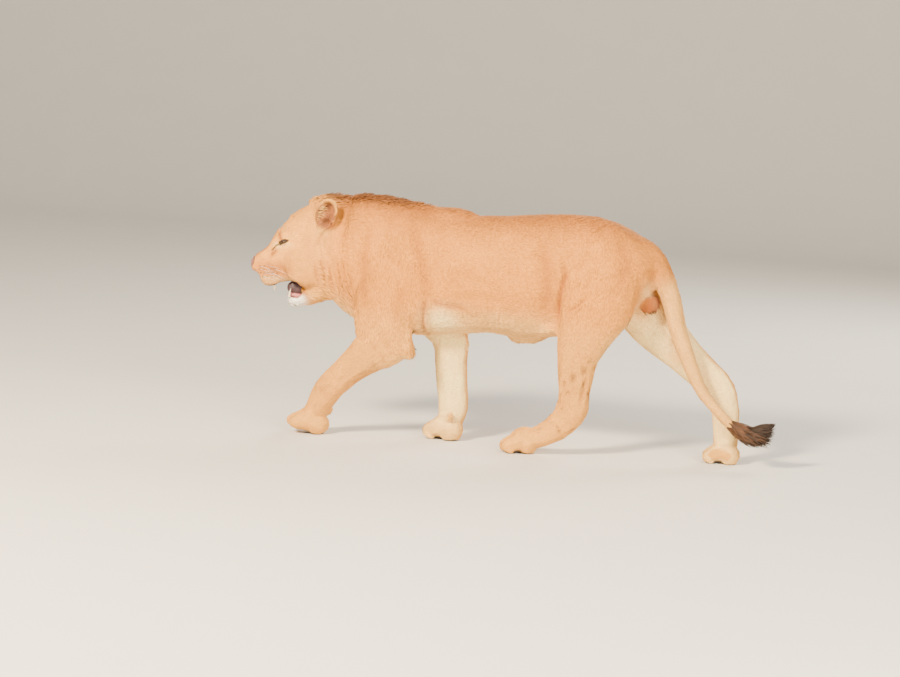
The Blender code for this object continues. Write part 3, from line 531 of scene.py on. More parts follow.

    # ears: black at the back, brown and thinly haired inside, a pale rim, and painted shade along
    # the inner fold and in the deep hollow
    for hand in (1, -1):
        across, _, up = to_ear(place, hand).T
        mine = part["ear"] * (np.sign(s) == hand)
        towards = facing @ from_side(EAR_OPENING, hand)
        spread = np.hypot(across / 0.050, up / 0.068)
        hollow = mine * ramp(towards, -0.1, 0.25) * (1 - ramp(spread, 0.78, 0.95))
        colour = tinted(colour, EAR_INSIDE, 0.85 * hollow)
        edge = mine * ramp(spread, 0.80, 0.98) * ramp(towards, -0.35, 0.1)
        colour = tinted(colour, PALE, 0.8 * edge)
        # painted shade: the inner fold and the deep hollow of the ear are darkened where shade
        # falls
        fold, _ = line_gap(
            np.stack((across, up), 1), ((0.036, 0.000), (0.022, 0.030), (0.000, 0.046)))
        deep = np.exp(-((across + 0.002) / 0.010) ** 2 - ((up + 0.020) / 0.020) ** 2)
        dark = np.clip(1 - ramp(fold, 0.003, 0.008) + 1.2 * deep, 0, 1)
        colour = tinted(colour, EAR_FOLD_SHADE, 0.85 * hollow * dark)
        black = mine * ramp(-towards, 0.10, 0.45) * ramp(up, -0.055, -0.035)
        black = black * (1 - ramp(across, 0.010, 0.028)) * (1 - ramp(up, 0.030, 0.050))
        colour = tinted(colour, EAR_BACK, 0.9 * black)

    # painted shade: the folds, the gaps between the toes and the lines of the face are darkened
    # where shade falls in them
    fold_shade = np.zeros(len(place))
    flat = place[:, (0, 2)]
    flank = ramp(-inwards, 0.1, 0.5)
    for hand, amount, width, line in FLANK_FOLDS:
        if amount < -0.0035:
            mine = flank * ((hand == 0) | (y * hand > 0)) * (1 - head)
            dark = stroke(flat, line, min(-amount / 0.010, 1), 0.7 * width)
            fold_shade = np.maximum(fold_shade, mine * dark)
    toes = toe_relief(place)
    lines = face_shade_lines(f, side, u, 0) * (1 - part["ear"]) * ramp(f, -0.24, -0.20)
    shadow = np.clip(0.60 * fold_shade + 0.75 * ramp(-toes, 0.0020, 0.0080) + 0.8 * lines, 0, 0.85)
    colour = colour * (1 - shadow[:, None] * np.array((0.75, 0.95, 1.0)))

    bright = 1 + 0.15 * body_mottle + 0.14 * fine_mottle
    return np.clip(colour * bright[:, None], 0, 1)


# The rows of whiskers in the head's frame: up, forward from and to, and how many
WHISKER_ROWS = (
    (-0.100, 0.088, 0.040, 4),
    (-0.113, 0.090, 0.030, 5),
    (-0.127, 0.086, 0.022, 5),
    (-0.141, 0.076, 0.024, 4),
)


def whisker_places():
    """The roots of the whiskers in the head's frame, forward and up, row by row."""
    for up, front, back, count in WHISKER_ROWS:
        for k in range(count):
            share = k / (count - 1)
            yield front + (back - front) * share, up + 0.004 * share


def whisker_spots(f, side, u):
    """The small dark spots that the whiskers grow from."""
    best = np.full(len(f), 1.0)
    for front, up in whisker_places():
        best = np.minimum(best, np.hypot(f - front, u - up))
    return (1 - ramp(best, 0.0022, 0.0044)) * ramp(side, 0.012, 0.020)


# ---------------------------------------------------------------- meshes and materials
def put(name, data):
    obj = bpy.data.objects.new(name, data)
    bpy.context.scene.collection.objects.link(obj)
    return obj


def only(*objects):
    """Select these objects and nothing else."""
    if bpy.context.object and bpy.context.object.mode != "OBJECT":
        bpy.ops.object.mode_set(mode="OBJECT")
    bpy.ops.object.select_all(action="DESELECT")
    for obj in objects:
        obj.select_set(True)
    bpy.context.view_layer.objects.active = objects[0]


def smooth(mesh):
    mesh.polygons.foreach_set("use_smooth", np.ones(len(mesh.polygons), bool))


def plain_mesh(name, points, triangles):
    mesh = bpy.data.meshes.new(name)
    mesh.vertices.add(len(points))
    mesh.vertices.foreach_set("co", np.asarray(points, np.float32).ravel())
    mesh.loops.add(3 * len(triangles))
    mesh.loops.foreach_set("vertex_index", np.asarray(triangles, np.int32).ravel())
    mesh.polygons.add(len(triangles))
    mesh.polygons.foreach_set("loop_start", np.arange(0, 3 * len(triangles), 3, dtype=np.int32))
    smooth(mesh)
    mesh.update(calc_edges=True)
    return mesh


def set_tint(mesh, colours):
    attribute = mesh.color_attributes.new(name="tint", type="FLOAT_COLOR", domain="POINT")
    rgba = np.ones((len(mesh.vertices), 4), np.float32)
    rgba[:, :3] = colours
    attribute.data.foreach_set("color", rgba.ravel())


def rows_of(data, key, width, kind=np.float32):
    """One property of all of a mesh's points, edges or triangles, a row for each."""
    values = np.empty(width * len(data), kind)
    data.foreach_get(key, values)
    return values.reshape(-1, width)


def mesh_points(mesh):
    return rows_of(mesh.vertices, "co", 3).astype(float)


def mesh_normals(mesh):
    return rows_of(mesh.vertex_normals, "vector", 3).astype(float)


def mesh_edges(mesh):
    return rows_of(mesh.edges, "vertices", 2, np.int32)


def triangle_areas(corners):
    return np.linalg.norm(np.cross(corners[:, 1] - corners[:, 0],
                                   corners[:, 2] - corners[:, 0]), axis=1) / 2


def set_points(mesh, points):
    mesh.vertices.foreach_set("co", np.asarray(points, np.float32).ravel())
    mesh.update()


class Spreader:
    """Means over each point's neighbours on a mesh."""

    def __init__(self, edges, count):
        self.count = count
        self.here = np.concatenate((edges[:, 0], edges[:, 1]))
        self.there = np.concatenate((edges[:, 1], edges[:, 0]))
        self.total = np.maximum(np.bincount(self.here, minlength=count), 1)

    def mean(self, values):
        if values.ndim == 1:
            return np.bincount(self.here, values[self.there], self.count) / self.total
        return np.stack([self.mean(column) for column in values.T], 1)

    def soften(self, values, times):
        for _ in range(times):
            values = values + 0.5 * (self.mean(values) - values)
        return values


def spreader_of(mesh):
    return Spreader(mesh_edges(mesh), len(mesh.vertices))


def add_node(tree, kind, inputs, **settings):
    """One node, with its settings, and a value or a link into each named socket."""
    node = tree.nodes.new(kind)
    for key, value in settings.items():
        setattr(node, key, value)
    for key, value in inputs.items():
        if isinstance(value, bpy.types.NodeSocket):
            tree.links.new(value, node.inputs[key])
        else:
            node.inputs[key].default_value = value
    return node


def new_material(name):
    """A material with an empty tree, and the places on the piece that its patterns follow."""
    material = bpy.data.materials.new(name)
    material.use_nodes = True
    tree = material.node_tree
    tree.nodes.clear()
    return material, tree, add_node(tree, "ShaderNodeTexCoord", {}).outputs["Object"]


def finish_material(tree, inputs):
    surface = add_node(tree, "ShaderNodeBsdfPrincipled", inputs)
    add_node(tree, "ShaderNodeOutputMaterial", {"Surface": surface.outputs["BSDF"]})


def tint_colour(tree):
    """The colour that set_tint gave each point."""
    return add_node(tree, "ShaderNodeVertexColor", {}, layer_name="tint").outputs["Color"]


def clouded(tree, place, first, second, scale, detail=2.0):
    """Two sRGB hex colours that pass into each other in soft clouds."""
    cloud = add_node(tree, "ShaderNodeTexNoise", {
        "Vector": place, "Scale": scale, "Detail": detail})
    both = add_node(tree, "ShaderNodeMix", {
        0: cloud.outputs["Fac"], 6: linear(first), 7: linear(second)}, data_type="RGBA")
    return both.outputs[2]


def pebbled(tree, place, scale, strength, distance):
    """Small raised cells with dents between them."""
    cells = add_node(tree, "ShaderNodeTexVoronoi", {"Vector": place, "Scale": scale})
    raised = add_node(tree, "ShaderNodeBump", {
        "Height": cells.outputs["Distance"], "Strength": strength, "Distance": distance},
        invert=True)
    return raised.outputs["Normal"]


def hair_material(name, grain, contrast, bump, roughness):
    """Dry keratin hair, dull with a faint sheen along the light: the colour is in the tint."""
    material, tree, place = new_material(name)
    long_way = add_node(tree, "ShaderNodeMapping", {"Vector": place, "Scale": grain})
    streaks = add_node(tree, "ShaderNodeTexNoise", {
        "Vector": long_way.outputs["Vector"], "Scale": 1.0, "Detail": 3.0, "Roughness": 0.6})
    light = add_node(tree, "ShaderNodeMapRange", {
        "Value": streaks.outputs["Fac"], "From Min": 0.3, "From Max": 0.7,
        "To Min": 1 - contrast, "To Max": 1 + contrast}).outputs["Result"]
    grey = add_node(tree, "ShaderNodeCombineColor", {"Red": light, "Green": light, "Blue": light})
    colour = add_node(tree, "ShaderNodeMix", {
        0: 1.0, 6: tint_colour(tree), 7: grey.outputs["Color"]},
        data_type="RGBA", blend_type="MULTIPLY")
    inputs = {"Base Color": colour.outputs[2], "Roughness": roughness,
              "Specular IOR Level": 0.25, "Sheen Weight": 0.12, "Sheen Roughness": 0.5,
              "Sheen Tint": linear("FFE9CC")}
    if bump:
        raised = add_node(tree, "ShaderNodeBump", {
            "Height": streaks.outputs["Fac"], "Strength": bump, "Distance": 0.0015})
        inputs["Normal"] = raised.outputs["Normal"]
    finish_material(tree, inputs)
    return material


def wet_material(name, code, dark_code, lump, bump, roughness, coat):
    """Bare hide or gum: one colour with darker lumps of the given size in metres."""
    material, tree, place = new_material(name)
    finish_material(tree, {
        "Base Color": clouded(tree, place, code, dark_code, 0.25 / lump, 3.0),
        "Roughness": roughness, "Coat Weight": coat, "Coat Roughness": 0.15,
        "Normal": pebbled(tree, place, 1 / lump, bump, lump / 2)})
    return material


# ---------------------------------------------------------------- the skin
SKIN = {}  # what the skin's operator leaves for the coat's operators


def part_of(node):
    """The row of COATS that a CAD node belongs to."""
    for part in COATS:
        if node.startswith(part):
            return part
    return "tail"


def flesh_nodes():
    return [n for n in sorted(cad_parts) if not any(word in n for word in HARD_NODES)]


def merged_copy(node, swell=0.0):
    """A copy of a CAD node with its loose triangles merged, grown by swell."""
    bm = bmesh.new()
    bm.from_mesh(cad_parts[node].data)
    bmesh.ops.remove_doubles(bm, verts=bm.verts, dist=MERGE_GAP)
    bm.normal_update()
    steps = [vert.normal * (swell * min(vert.calc_shell_factor(), 2)) for vert in bm.verts]
    for vert, step in zip(bm.verts, steps):
        vert.co += step
    mesh = bpy.data.meshes.new(node + "_copy")
    bm.to_mesh(mesh)
    bm.free()
    return put(node + "_copy", mesh)


def part_labels(points):
    """Which part of COATS each point lies nearest, by samples spread over the solids."""
    samples = []
    labels = []
    for node in flesh_nodes() + ["tail_tuft"]:
        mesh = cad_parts[node].data
        mesh.calc_loop_triangles()
        corners = mesh_points(mesh)[rows_of(mesh.loop_triangles, "vertices", 3, np.int32)]
        wanted = triangle_areas(corners) * LABEL_SAMPLES + 0.5
        spread = spread_on(corners, wanted, np.random.default_rng(SEED))[0]
        samples.append(spread)
        labels.extend([PART_ORDER.index(part_of(node))] * len(spread))
    samples = np.concatenate(samples)
    tree = kdtree.KDTree(len(samples))
    for index, point in enumerate(samples):
        tree.insert(point, index)
    tree.balance()
    return np.array(labels)[[tree.find(point)[1] for point in points]]


def spread_on(corners, wanted, rng):
    """Points spread over triangles, with the wanted number on each, and where each one lies."""
    marks = np.floor(np.cumsum(wanted) + rng.random()).astype(int)
    counts = np.diff(np.concatenate(((0,), marks)))
    owner = np.repeat(np.arange(len(corners)), counts)
    a = np.sqrt(rng.random(len(owner)))
    b = rng.random(len(owner))
    weights = np.stack((1 - a, a * (1 - b), a * b), 1)
    return np.einsum("nk,nkd->nd", weights, corners[owner]), owner, weights


def skin_blank():
    """The flesh solids and the tail's end as one closed surface of even grain."""
    copies = [merged_copy(node, SEAM_CLOSE) for node in flesh_nodes()]
    balls = [(*EYE_LEFT, EYE_RADIUS * 1.12), (*EYE_RIGHT, EYE_RADIUS * 1.12), *TAIL_END]
    for x, y, z, radius in balls:
        bpy.ops.object.select_all(action="DESELECT")
        bpy.ops.mesh.primitive_ico_sphere_add(subdivisions=3, radius=radius, location=(x, y, z))
        bpy.ops.object.transform_apply(location=True, rotation=False, scale=False)
        copies.append(bpy.context.object)
    only(*copies)
    bpy.ops.object.join()
    skin = bpy.context.object
    skin.data.remesh_voxel_size = SKIN_GRAIN
    bpy.ops.object.voxel_remesh()
    return skin


def refine_face(skin):
    """Split the skin's faces where the face needs a finer grain."""
    bm = bmesh.new()
    bm.from_mesh(skin.data)
    points = np.array([v.co for v in bm.verts])
    f, _, u = to_head(points).T
    fine = (f > -0.075) & (u > -0.30)
    edges = [e for e in bm.edges if fine[e.verts[0].index] and fine[e.verts[1].index]]
    bmesh.ops.subdivide_edges(bm, edges=edges, cuts=1, use_grid_fill=True)
    bmesh.ops.triangulate(bm, faces=[face for face in bm.faces if len(face.verts) > 4])
    bm.to_mesh(skin.data)
    bm.free()


def part_field(labels, column, spreader, times):
    values = np.array([row[column] for row in COATS.values()])[labels]
    return spreader.soften(values, times)


def soften_band(points, edges, share, times):
    """Plain smoothing where the share is over nothing, which levels a step between solids."""
    inside = share > 0.01
    number = np.cumsum(inside) - 1
    spreader = Spreader(number[edges[inside[edges].all(1)]], int(inside.sum()))
    band = points[inside]
    pull = 0.6 * share[inside, None]
    for _ in range(times):
        band = band + pull * (spreader.mean(band) - band)
    result = points.copy()
    result[inside] = band
    return result


def soften_skin(skin):
    """Smooth the facets of the solids away, without shrinking the limbs."""
    mesh = skin.data
    points = mesh_points(mesh)
    labels = part_labels(points)
    edges = mesh_edges(mesh)
    spreader = spreader_of(mesh)
    share = np.array([SOFTENING.get(part, 1.0) for part in COATS])[labels]
    share = spreader.soften(share, 12)[:, None]
    ear = spreader.soften((labels == PART_ORDER.index("ear")).astype(float), 12)
    paw = np.isin(labels, [PART_ORDER.index("forepaw"), PART_ORDER.index("hindpaw")])
    paw = spreader.soften(paw.astype(float), 30)
    f, _, u = to_head(points).T
    nape = (f - NAPE[0] + NAPE[1] * u) / NAPE_LEAN
    nape = np.exp(-(nape / NAPE_BAND) ** 2) * (1 - ear) ** 2
    points = soften_band(points, edges, nape, NAPE_PASSES)
    points = soften_band(points, edges, np.clip(4 * paw * (1 - paw), 0, 1), PAW_PASSES)
    for _ in range(BODY_PASSES):
        points = points + STEP_IN * share * (spreader.mean(points) - points)
        points = points - STEP_OUT * share * (spreader.mean(points) - points)
    for _ in range(3):
        points = points + 0.5 * np.maximum(share, 0.3) * (spreader.mean(points) - points)
    set_points(mesh, points)


def crest_share(points):
    """Where the short mane stands on the neck."""
    x, y, z = points.T
    share = (1 - ramp(np.abs(y), 0.016, 0.050)) * ramp(z, 0.915, 0.950)
    return share * ramp(x, -0.885, -0.83) * (1 - ramp(x, -0.46, -0.33))


def sculpt_skin(skin):
    """Press the folds and the eyes into the skin, and draw it in by the depth of the coat."""
    mesh = skin.data
    points = mesh_points(mesh)
    spreader = spreader_of(mesh)
    labels = part_labels(points)
    normals = unit(spreader.soften(mesh_normals(mesh), 3))
    f, s, u = to_head(points).T
    folded = np.stack((f, np.abs(s), u), 1)
    on_head = ramp(f, -0.30, -0.24) * ramp(u, -0.34, -0.30)
    face = on_head > 0

    depth = part_field(labels, 0, spreader, 80)
    to_eye = np.minimum(np.linalg.norm(points - EYE_LEFT, axis=1),
                        np.linalg.norm(points - EYE_RIGHT, axis=1))
    depth = depth * (0.3 + 0.7 * ramp(to_eye, 0.022, 0.050))
    pad = nose_pad(f, np.abs(s), u)
    depth = depth + 0.012 * crest_share(points) + SEAM_CLOSE + 0.0090 * ramp(pad, 0.0010, 0.0040)
    move = -depth
    flat = points[:, (0, 2)]
    outward = normals[:, 1] * np.sign(points[:, 1])
    flank = ramp(outward, 0.25, 0.6)
    behind_face = flat[:, 0] >= -0.80
    for side, amount, width, line in FLANK_FOLDS:
        mine = (side == 0) | (points[:, 1] * side > 0)
        change = stroke_near(flat, (outward > 0.2) & mine, line, amount, width)
        move = move + change * flank * mine * behind_face
    for amount, width, line in FACE_FOLDS:
        move = move + stroke_near(folded, face, line, amount, width)
    move = move - face_shade_lines(f, np.abs(s), u, 1) * ramp(np.abs(normals @ LEFTWARD), 0.15, 0.5)
    amount, width, line = PHILTRUM
    move = move + stroke_near(folded, face, line, amount, width)
    points = points + normals * (move + toe_relief(points))[:, None]
    lump = (noise(points, 0.060, 7) - 0.5) * 0.0022 * (1 - on_head)
    points = points + normals * lump[:, None]
    points = open_eye(points, EYE_LEFT, 1)
    points = open_eye(points, EYE_RIGHT, -1)
    points[:, 2] = np.maximum(points[:, 2], SKIN_GAP)
    set_points(mesh, points)


def toe_relief(points):
    """How far the skin moves out along the toes and in between them."""
    move = np.zeros(len(points))
    for place, heading, pitch, size in PAWS:
        turn = Matrix.Rotation(math.pi + math.radians(heading), 3, "Z")
        turn = turn @ Matrix.Rotation(math.radians(pitch), 3, "Y")
        local = (points - place) @ np.array(turn) / size
        near = np.linalg.norm(local - (0.03, 0, 0.04), axis=1) < 0.10
        spot = local[near]
        change = np.zeros(len(spot))
        for toe in (-1.5, -1, -0.5, 0, 0.5, 1, 1.5):
            gap = toe == round(toe)
            reach = 0.0 if abs(toe) < 1.4 else -0.016
            line = [(ahead + reach, toe * TOE_GAP * (0.85 + 2.5 * max(ahead, 0)), up)
                    for ahead, up in TOE_LINE]
            depth, width = (-0.0100, 0.0048) if gap else (0.0030, 0.0090)
            change += stroke(spot, line, depth, width)
        move[near] += size * change
    return move


# The nose leather's outline from the front: up, half width
NOSE_PAD = np.array((
    (-0.128, 0.0015), (-0.120, 0.0040), (-0.112, 0.0120), (-0.104, 0.0240), (-0.094, 0.0330),
    (-0.082, 0.0350), (-0.074, 0.0315), (-0.067, 0.0195), (-0.063, 0.0000)))


def nose_pad(f, side, u):
    """How far inside the nose leather's outline each place lies."""
    half = np.interp(u, NOSE_PAD[:, 0], NOSE_PAD[:, 1], left=-0.01, right=-0.01)
    return np.minimum(half - side, f - 0.101)


def eye_axes(side):
    """An eye's own frame: its gaze, towards its outer corner, up."""
    gaze = unit(np.array((0.62, 0.78 * side, 0.02)) @ AXES)
    outer = unit(np.array((-0.78, 0.62 * side, 0.34)) @ AXES)
    outer = unit(outer - gaze * (outer @ gaze))
    up = np.cross(gaze, outer) * side
    if up[2] < 0:
        up = -up
    return gaze, outer, up


def lid_height(across, upper):
    """How far the upper or the lower lid's edge lies from the eye's middle line."""
    share = np.clip(across / EYE_OPEN, -1, 1)
    bow = np.sqrt(np.clip(1 - share * share, 0, 1))
    return EYE_TALL * bow * (0.95 if upper else -0.60) + 0.06 * share


def eye_opening(points, centre, side):
    """For each place near an eye: how far inside the lids' opening, as an angle, how far from
    the eye's middle, which way, and how squarely in front."""
    gaze, outer, up = eye_axes(side)
    away = points - centre
    distance = np.linalg.norm(away, axis=1)
    way = away / np.maximum(distance, 1e-6)[:, None]
    across = np.arctan2(way @ outer, way @ gaze)
    tall = np.arcsin(np.clip(way @ up, -1, 1))
    opened = np.minimum(lid_height(across, True) - tall, tall - lid_height(across, False))
    opened = np.where(np.abs(across) < EYE_OPEN, opened,
                      -np.hypot(np.abs(across) - EYE_OPEN, np.minimum(opened, 0)))
    return opened, distance, way, way @ gaze


def open_eye(points, centre, side):
    """Draw the skin over the eyeball as lids, and behind it within their opening."""
    opened, distance, way, facing = eye_opening(points, centre, side)
    near = (distance < EYE_RADIUS + 0.022) & (facing > 0.1)
    inside = ramp(opened, -0.02, 0.07)
    lid = EYE_RADIUS + LID_ABOVE + 0.0022 * ramp(-opened, 0.04, 0.50)
    share = (1 - ramp(-opened, 0.28, 0.85)) * ramp(facing, 0.1, 0.4)
    share = share * (1 - ramp(distance, EYE_RADIUS + 0.008, EYE_RADIUS + 0.020))
    target = distance + share * (lid - distance)
    target = target * (1 - inside) + (EYE_RADIUS - 0.0025) * inside
    result = points.copy()
    result[near] = centre + way[near] * target[near, None]
    return result


def thin_skin(skin):
    """Thin the skin where it is smooth and broad, and keep the face and paws fine."""
    mesh = skin.data
    points = mesh_points(mesh)
    f, _, u = to_head(points).T
    triangles = sum(len(p.vertices) - 2 for p in mesh.polygons)
    rough = ~((f > -0.105) & (u > -0.32) | (points[:, 2] < 0.055))
    only(skin)
    mesh.vertices.foreach_set("select", np.zeros(len(points), bool))
    bpy.ops.object.mode_set(mode="EDIT")
    bpy.ops.mesh.select_mode(type="FACE")
    bpy.ops.mesh.select_all(action="DESELECT")
    bpy.ops.object.mode_set(mode="OBJECT")
    faces = np.array([all(rough[i] for i in p.vertices) for p in mesh.polygons])
    mesh.polygons.foreach_set("select", faces)
    broad = int(sum(len(p.vertices) - 2 for p, on in zip(mesh.polygons, faces) if on))
    keep = (SKIN_TRIANGLES - (triangles - broad)) / broad
    bpy.ops.object.mode_set(mode="EDIT")
    bpy.ops.mesh.decimate(ratio=max(keep, 0.05))
    bpy.ops.mesh.select_all(action="SELECT")
    bpy.ops.mesh.quads_convert_to_tris()
    bpy.ops.object.mode_set(mode="OBJECT")
    smooth(mesh)
    mesh.update()


def lie_of(points, normals):
    """Which way the hair points at each place, along the skin."""
    total = np.zeros((len(points), 3))
    for line in LIE.values():
        line = np.array(line)
        for start, end in zip(line[:-1], line[1:]):
            step = end - start
            t = np.clip((points - start) @ step / (step @ step), 0, 1)
            gap = np.sum((points - start - t[:, None] * step) ** 2, 1)
            total += unit(step) / (gap[:, None] + 0.0005) ** 2 * np.linalg.norm(step)
    total = unit(total)
    high = ramp(points[:, 2], 0.45, 0.60) * ramp(points[:, 0], -0.75, -0.60)
    total[:, 2] -= 0.35 * high * ramp(np.abs(normals[:, 1]), 0.3, 0.8)
    sideways = to_head(points)[:, 1]
    for side in (1, -1):
        near = np.exp(-np.sum((to_ear(points, side) / 0.075) ** 2, 1))
        near = near * (np.sign(sideways) == side)
        total = mixed(total, from_side(EAR_UP, side), np.clip(1.3 * near, 0, 1))
    return laid_flat(total, normals)


class LION_OT_skin(bpy.types.Operator):
    """Make the one skin that stands for all the flesh"""

    bl_idname = "lion.skin"
    bl_label = "Skin"

    def execute(self, context):
        skin = skin_blank()
        soften_skin(skin)
        refine_face(skin)
        sculpt_skin(skin)
        thin_skin(skin)
        skin.name = skin.data.name = "skin"
        mesh = skin.data
        points = mesh_points(mesh)
        spreader = spreader_of(mesh)
        labels = part_labels(points)
        normals = mesh_normals(mesh)
        parts = {}
        for index, part in enumerate(COATS):
            parts[part] = spreader.soften((labels == index).astype(float), 6)
        SKIN.update(points=points, normals=normals, labels=labels, parts=parts,
                    triangles=rows_of(mesh.polygons, "vertices", 3, np.int32),
                    lie=lie_of(points, unit(spreader.soften(normals, 4))),
                    rows={column: part_field(labels, column, spreader, 12) for column in (1, 2, 3)})
        SKIN["colour"] = coat_colour(points, unit(spreader.soften(normals, 14)), parts)
        set_tint(mesh, SKIN["colour"])
        mesh.materials.clear()
        mesh.materials.append(hair_material(
            "short_sandy_coat_hair", (110, 380, 380), 0.10, 0.35, 0.72))
        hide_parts("tail_tuft", *flesh_nodes())
        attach(skin, "root")
        return {"FINISHED"}


# ---------------------------------------------------------------- the short coat
def coat_patch(roots, axis, middle, span):
    """Where each root lies on an unrolled skin: round the part's axis, and along it."""
    axis = unit(np.array(axis, float))
    first = unit(np.cross(axis, (0.13, 0.41, 0.90)))
    second = np.cross(axis, first)
    away = roots - middle
    turn = np.arctan2(away @ second, away @ first) / (2 * math.pi) + 0.5
    along = np.clip((away @ axis) / span + 0.5, 0, 1)
    return 0.01 + 0.98 * np.stack((turn, along), 1)


TUFT_FACES = np.array(((0, 1, 3), (1, 4, 3), (4, 2, 3), (2, 0, 3), (0, 2, 1), (1, 2, 4)))
TUFT_PATCH = PATCH * np.array(((-1, 0), (-0.4, -1), (-0.4, 1), (0, 0.1), (1, 0)))


def tuft_mesh(name, roots, normals, lies, lengths, widths, lifts, colours, places):
    """Flat closed tufts, each a ridged kite from its root to its tip."""
    sides = np.cross(lies, normals)
    count = len(roots)
    lengths = lengths[:, None]
    widths = widths[:, None]
    lifts = lifts[:, None]
    points = np.empty((count, 5, 3))
    points[:, 0] = roots - 0.0006 * normals
    body = roots + 0.40 * lengths * lies + 0.45 * lifts * normals
    points[:, 1] = body + 0.5 * widths * sides
    points[:, 2] = body - 0.5 * widths * sides
    points[:, 3] = body + 0.05 * lengths * lies + (0.0004 + 0.22 * widths) * normals
    points[:, 4] = roots + lengths * lies + lifts * normals
    points[:, :, 2] = np.maximum(points[:, :, 2], FLOOR_GAP)
    faces = (np.arange(count)[:, None, None] * 5 + TUFT_FACES).reshape(-1, 3)
    mesh = plain_mesh(name, points.reshape(-1, 3), faces)
    # darker towards the root as painted shade deep in the coat, lighter towards the tip
    tones = np.array((0.80, 0.96, 0.96, 1.02, 1.10))
    tint = np.clip(colours[:, None, :] * tones[None, :, None], 0, 1)
    set_tint(mesh, tint.reshape(-1, 3))
    lean = np.array((-0.25, 0, 0, 0, 0.35))
    roll = np.array((0, 0.45, -0.45, 0, 0))
    shading = normals[:, None] + lean[:, None] * lies[:, None] + roll[:, None] * sides[:, None]
    mesh.normals_split_custom_set_from_vertices(unit(shading).reshape(-1, 3))
    unroll = mesh.uv_layers.new(name="OFBake")
    spots = places[:, None, :] + TUFT_PATCH
    spots = np.clip(spots, 0.0005, 0.9995).reshape(-1, 2)
    unroll.data.foreach_set("uv", spots[faces.ravel()].astype(np.float32).ravel())
    return mesh


def field_at(values, owner, weights):
    """A field of the skin's points at places on its triangles."""
    corners = values[SKIN["triangles"][owner]]
    if values.ndim == 1:
        return np.sum(corners * weights, 1)
    return np.einsum("nk,nkd->nd", weights, corners)


def bare_share(points, normals):
    """Where no hair grows: in the mouth, over the eyes, under the paws, under the nose."""
    f, s, u = to_head(points).T
    low_edge, high_edge = mouth_edges(f)
    bare = head_share(f, u) * (u > low_edge - 0.001) * (u < high_edge + 0.010) * (f > -0.081)
    for centre, side in ((EYE_LEFT, 1), (EYE_RIGHT, -1)):
        opened, distance, _, facing = eye_opening(points, centre, side)
        close = (distance < EYE_RADIUS + 0.010) & (facing > 0.1)
        bare = np.maximum(bare, close & (opened > -0.27))
    bare = np.maximum(bare, nose_pad(f, np.abs(s), u) > -0.0003)
    under_paw = (points[:, 2] < 0.02) & (normals[:, 2] < -0.6)
    return np.maximum(bare, (points[:, 2] < 0.006) | under_paw)


def hair_ground():
    """The skin's triangles: their corners, areas, middles and normals, and the bare ones."""
    corners = SKIN["points"][SKIN["triangles"]]
    middles = corners.mean(1)
    normals = SKIN["normals"][SKIN["triangles"][:, 0]]
    return (corners, triangle_areas(corners), middles, normals,
            bare_share(middles, normals) > 0.5)


def swirled(lies, normals, roots, whorl, seed, disorder, rng):
    """The lie of the hair along the skin, turned by whorls and by some disorder."""
    lies = laid_flat(lies, normals)
    swirl = 0.5 * (noise(roots, whorl, seed) - 0.5) + disorder * (rng.random(len(roots)) - 0.5)
    return unit(lies + np.cross(normals, lies) * swirl[:, None])


# The coat's pieces: name, parts, side (-1 left, 1 right, 0 both), axis, middle, span
COAT_PIECES = (
    *((f"coat_{part}_{word}", (part,), side, (1, 0, 0), (x, 0.0, 0.70), span)
      for part, x, span in (("shoulders", -0.42, 0.60), ("belly", 0.01, 0.50),
                            ("hindquarters", 0.42, 0.60))
      for word, side in (("left", -1), ("right", 1))),
    ("coat_neck", ("neck",), 0, (1, 0, 0), (-0.69, 0.0, 0.74), 0.40),
    ("coat_head", ("head", "jaw"), 0, (-0.97, -0.24, 0), (-0.90, -0.02, 0.72), 0.45),
    ("coat_ears", ("ear",), 0, (0, 1, 0), (-0.80, 0.01, 0.87), 0.30),
    ("coat_foreleg_left", ("foreleg", "forepaw"), -1, (-0.76, 0, -0.65),
     (-0.65, -0.09, 0.22), 0.70),
    ("coat_foreleg_right", ("foreleg", "forepaw"), 1, (0, 0, 1), (-0.28, 0.08, 0.22), 0.50),
    ("coat_hindleg_left", ("hindleg", "hindpaw"), -1, (0, 0, 1), (0.20, -0.10, 0.25), 0.60),
    ("coat_hindleg_right", ("hindleg", "hindpaw"), 1, (-0.5, 0, 0.86), (0.78, 0.07, 0.28), 0.80),
    ("coat_tail", ("tail", "scrotum"), 0, (0.5, 0, -0.86), (0.76, -0.02, 0.40), 0.90),
)


def face_growth(roots):
    """How long hair is against the rest of its part: short round the eyes and on the bridge."""
    f, _, u = to_head(roots).T
    gap = np.minimum(np.linalg.norm(roots - EYE_LEFT, axis=1),
                     np.linalg.norm(roots - EYE_RIGHT, axis=1))
    front = ramp(f, -0.03, 0.05) * ramp(u, -0.30, -0.25)
    return (0.38 + 0.62 * ramp(gap, 0.022, 0.055)) * (1 - 0.40 * front)


